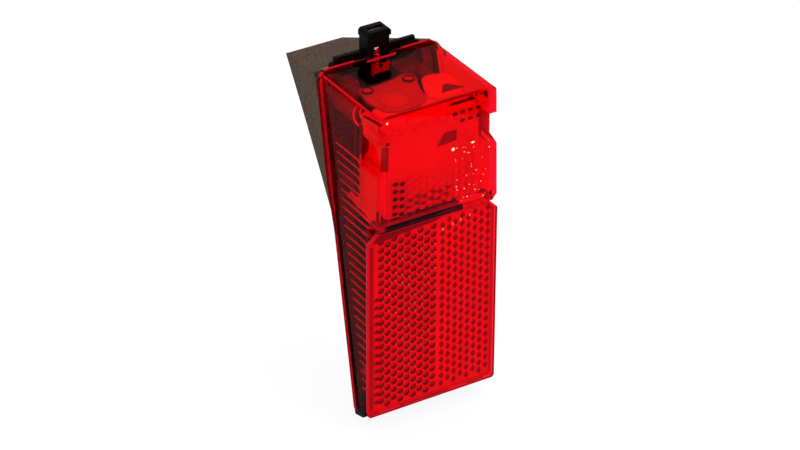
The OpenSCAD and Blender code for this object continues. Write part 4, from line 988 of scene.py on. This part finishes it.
cellShape = {"radius": 5.25, "nub": 2.6, "long": 44.5, "x": 5.5, "w": 4.0, "coil": (2.6, 4.9, 3, 0.6),
             "wire": 0.3, "band": (1, 1, 1, 1, 1, 0, 2, 2, 2, 1, 1, 1, 1, 1),
             "ends": (("cellLeft", "battery_left", -1, 1, 11.05, 6.1),
                      ("cellRight", "battery_right", 1, -1, 50.55, 55.5))}


def cellForm(work, c, place):
    r, n, l = c["radius"], c["nub"], c["long"]
    lathe(work, [(0, 0.12), (3.7, 0.12), (3.9, 0), (4.7, 0), (5.0, 0.2), (r, 0.55), (r, 35.0), (r, l - 1.9),
                 (r - 0.12, l - 1.5), (r - 0.45, l - 1.2), (3.2, l - 1.2), (n, l - 1.05), (n, l - 0.3),
                 (n - 0.3, l), (0, l)], place, 40, c["band"])


for name, node, side, way, *starts in cellShape["ends"]:
    cellPlace, coilPlace = (at(onRim(side * cellShape["x"], cellShape["w"], v), rimUp * way) for v in starts)
    formed(name, "base", [cellSleeve, cellSteel, cellBand], "cell_sleeve", cellForm, cellShape, cellPlace,
           stands=[node])
    formed(name + "Spring", "base", springWire, "contact_metal", sweep, coil(coilPlace, *cellShape["coil"]),
           cellShape["wire"], stands=["cell_springs"], angle=wireAngle)
fromSolid("cellTray", "battery_tray", "base", trayBlack, "tray_plastic")
fromSolid("bridgeContact", "bridge_contact", "base", contactNickel, "contact_metal", 0.1)
fromSolid("endContacts", "end_contacts", "base", contactNickel, "contact_metal", 0.1)
print("light unit and supply done")

studio = {"floor": ((0.86 * 0.985,) * 3, (0.86,) * 3), "floorGlow": 0.88, "floorSize": 3, "floorDrop": 0.0002,
          "world": 0.75, "aim": fit(0, 15, 60), "lights": (
              ("key", (0.35, -0.75, 0.55), 0.5, 6.0), ("fill", (-0.7, -0.35, 0.35), 0.6, 3.0),
              ("top", (0.05, 0.1, 0.9), 0.7, 5.0))}


def seenRay(tree):  # 1 where the camera looks, also by a mirror or through the lens
    path = put(tree, "ShaderNodeLightPath").outputs
    seen = path["Is Camera Ray"]
    for kind in ("Is Glossy Ray", "Is Transmission Ray"):
        seen = put(tree, "ShaderNodeMath", {0: seen, 1: path[kind]}, operation="MAXIMUM").outputs[0]
    return seen


def floorFinish(s):
    material, tree, shader = startFinish("floorPale", Roughness=0.7)
    feed(tree, shader, tones(tree, noise(tree, 6, 2), *s["floor"]))
    glow = put(tree, "ShaderNodeEmission", {"Color": (1, 1, 1, 1), "Strength": 1.0})
    share = put(tree, "ShaderNodeMath", {0: seenRay(tree), 1: s["floorGlow"]}, operation="MULTIPLY")
    both = put(tree, "ShaderNodeMixShader", {0: share.outputs[0], 1: shader.outputs[0], 2: glow.outputs[0]})
    tree.links.new(both.outputs[0], tree.nodes["Material Output"].inputs["Surface"])
    return material


def makeStudio(s):
    size = s["floorSize"]
    mesh = plainMesh("floor", lambda w: bmesh.ops.create_grid(w, x_segments=2, y_segments=2, size=size))
    mesh.transform(Matrix.Translation((0, 0, cadBox[0][2] - s["floorDrop"])))
    floor = placed("floor", mesh)
    mesh.materials.append(floorFinish(s))
    world = bpy.data.worlds.new("studio")
    bpy.context.scene.world = world
    world.use_nodes = True
    tree = world.node_tree
    tree.nodes.clear()
    dim, white = (put(tree, "ShaderNodeBackground", {"Color": (1, 1, 1, 1), "Strength": strength})
                  for strength in (s["world"], 1.0))
    both = put(tree, "ShaderNodeMixShader", {0: seenRay(tree), 1: dim.outputs[0], 2: white.outputs[0]})
    tree.links.new(both.outputs[0], put(tree, "ShaderNodeOutputWorld").inputs["Surface"])
    for name, spot, size, power in s["lights"]:
        data = bpy.data.lights.new(name, "AREA")
        data.shape, data.size, data.energy = "DISK", size, power
        lamp = placed(name, data)
        lamp.matrix_world = at(Vector(spot), Vector(spot) - s["aim"])
    bpy.context.scene.view_settings.view_transform = "Standard"


makeStudio(studio)
print("studio done")
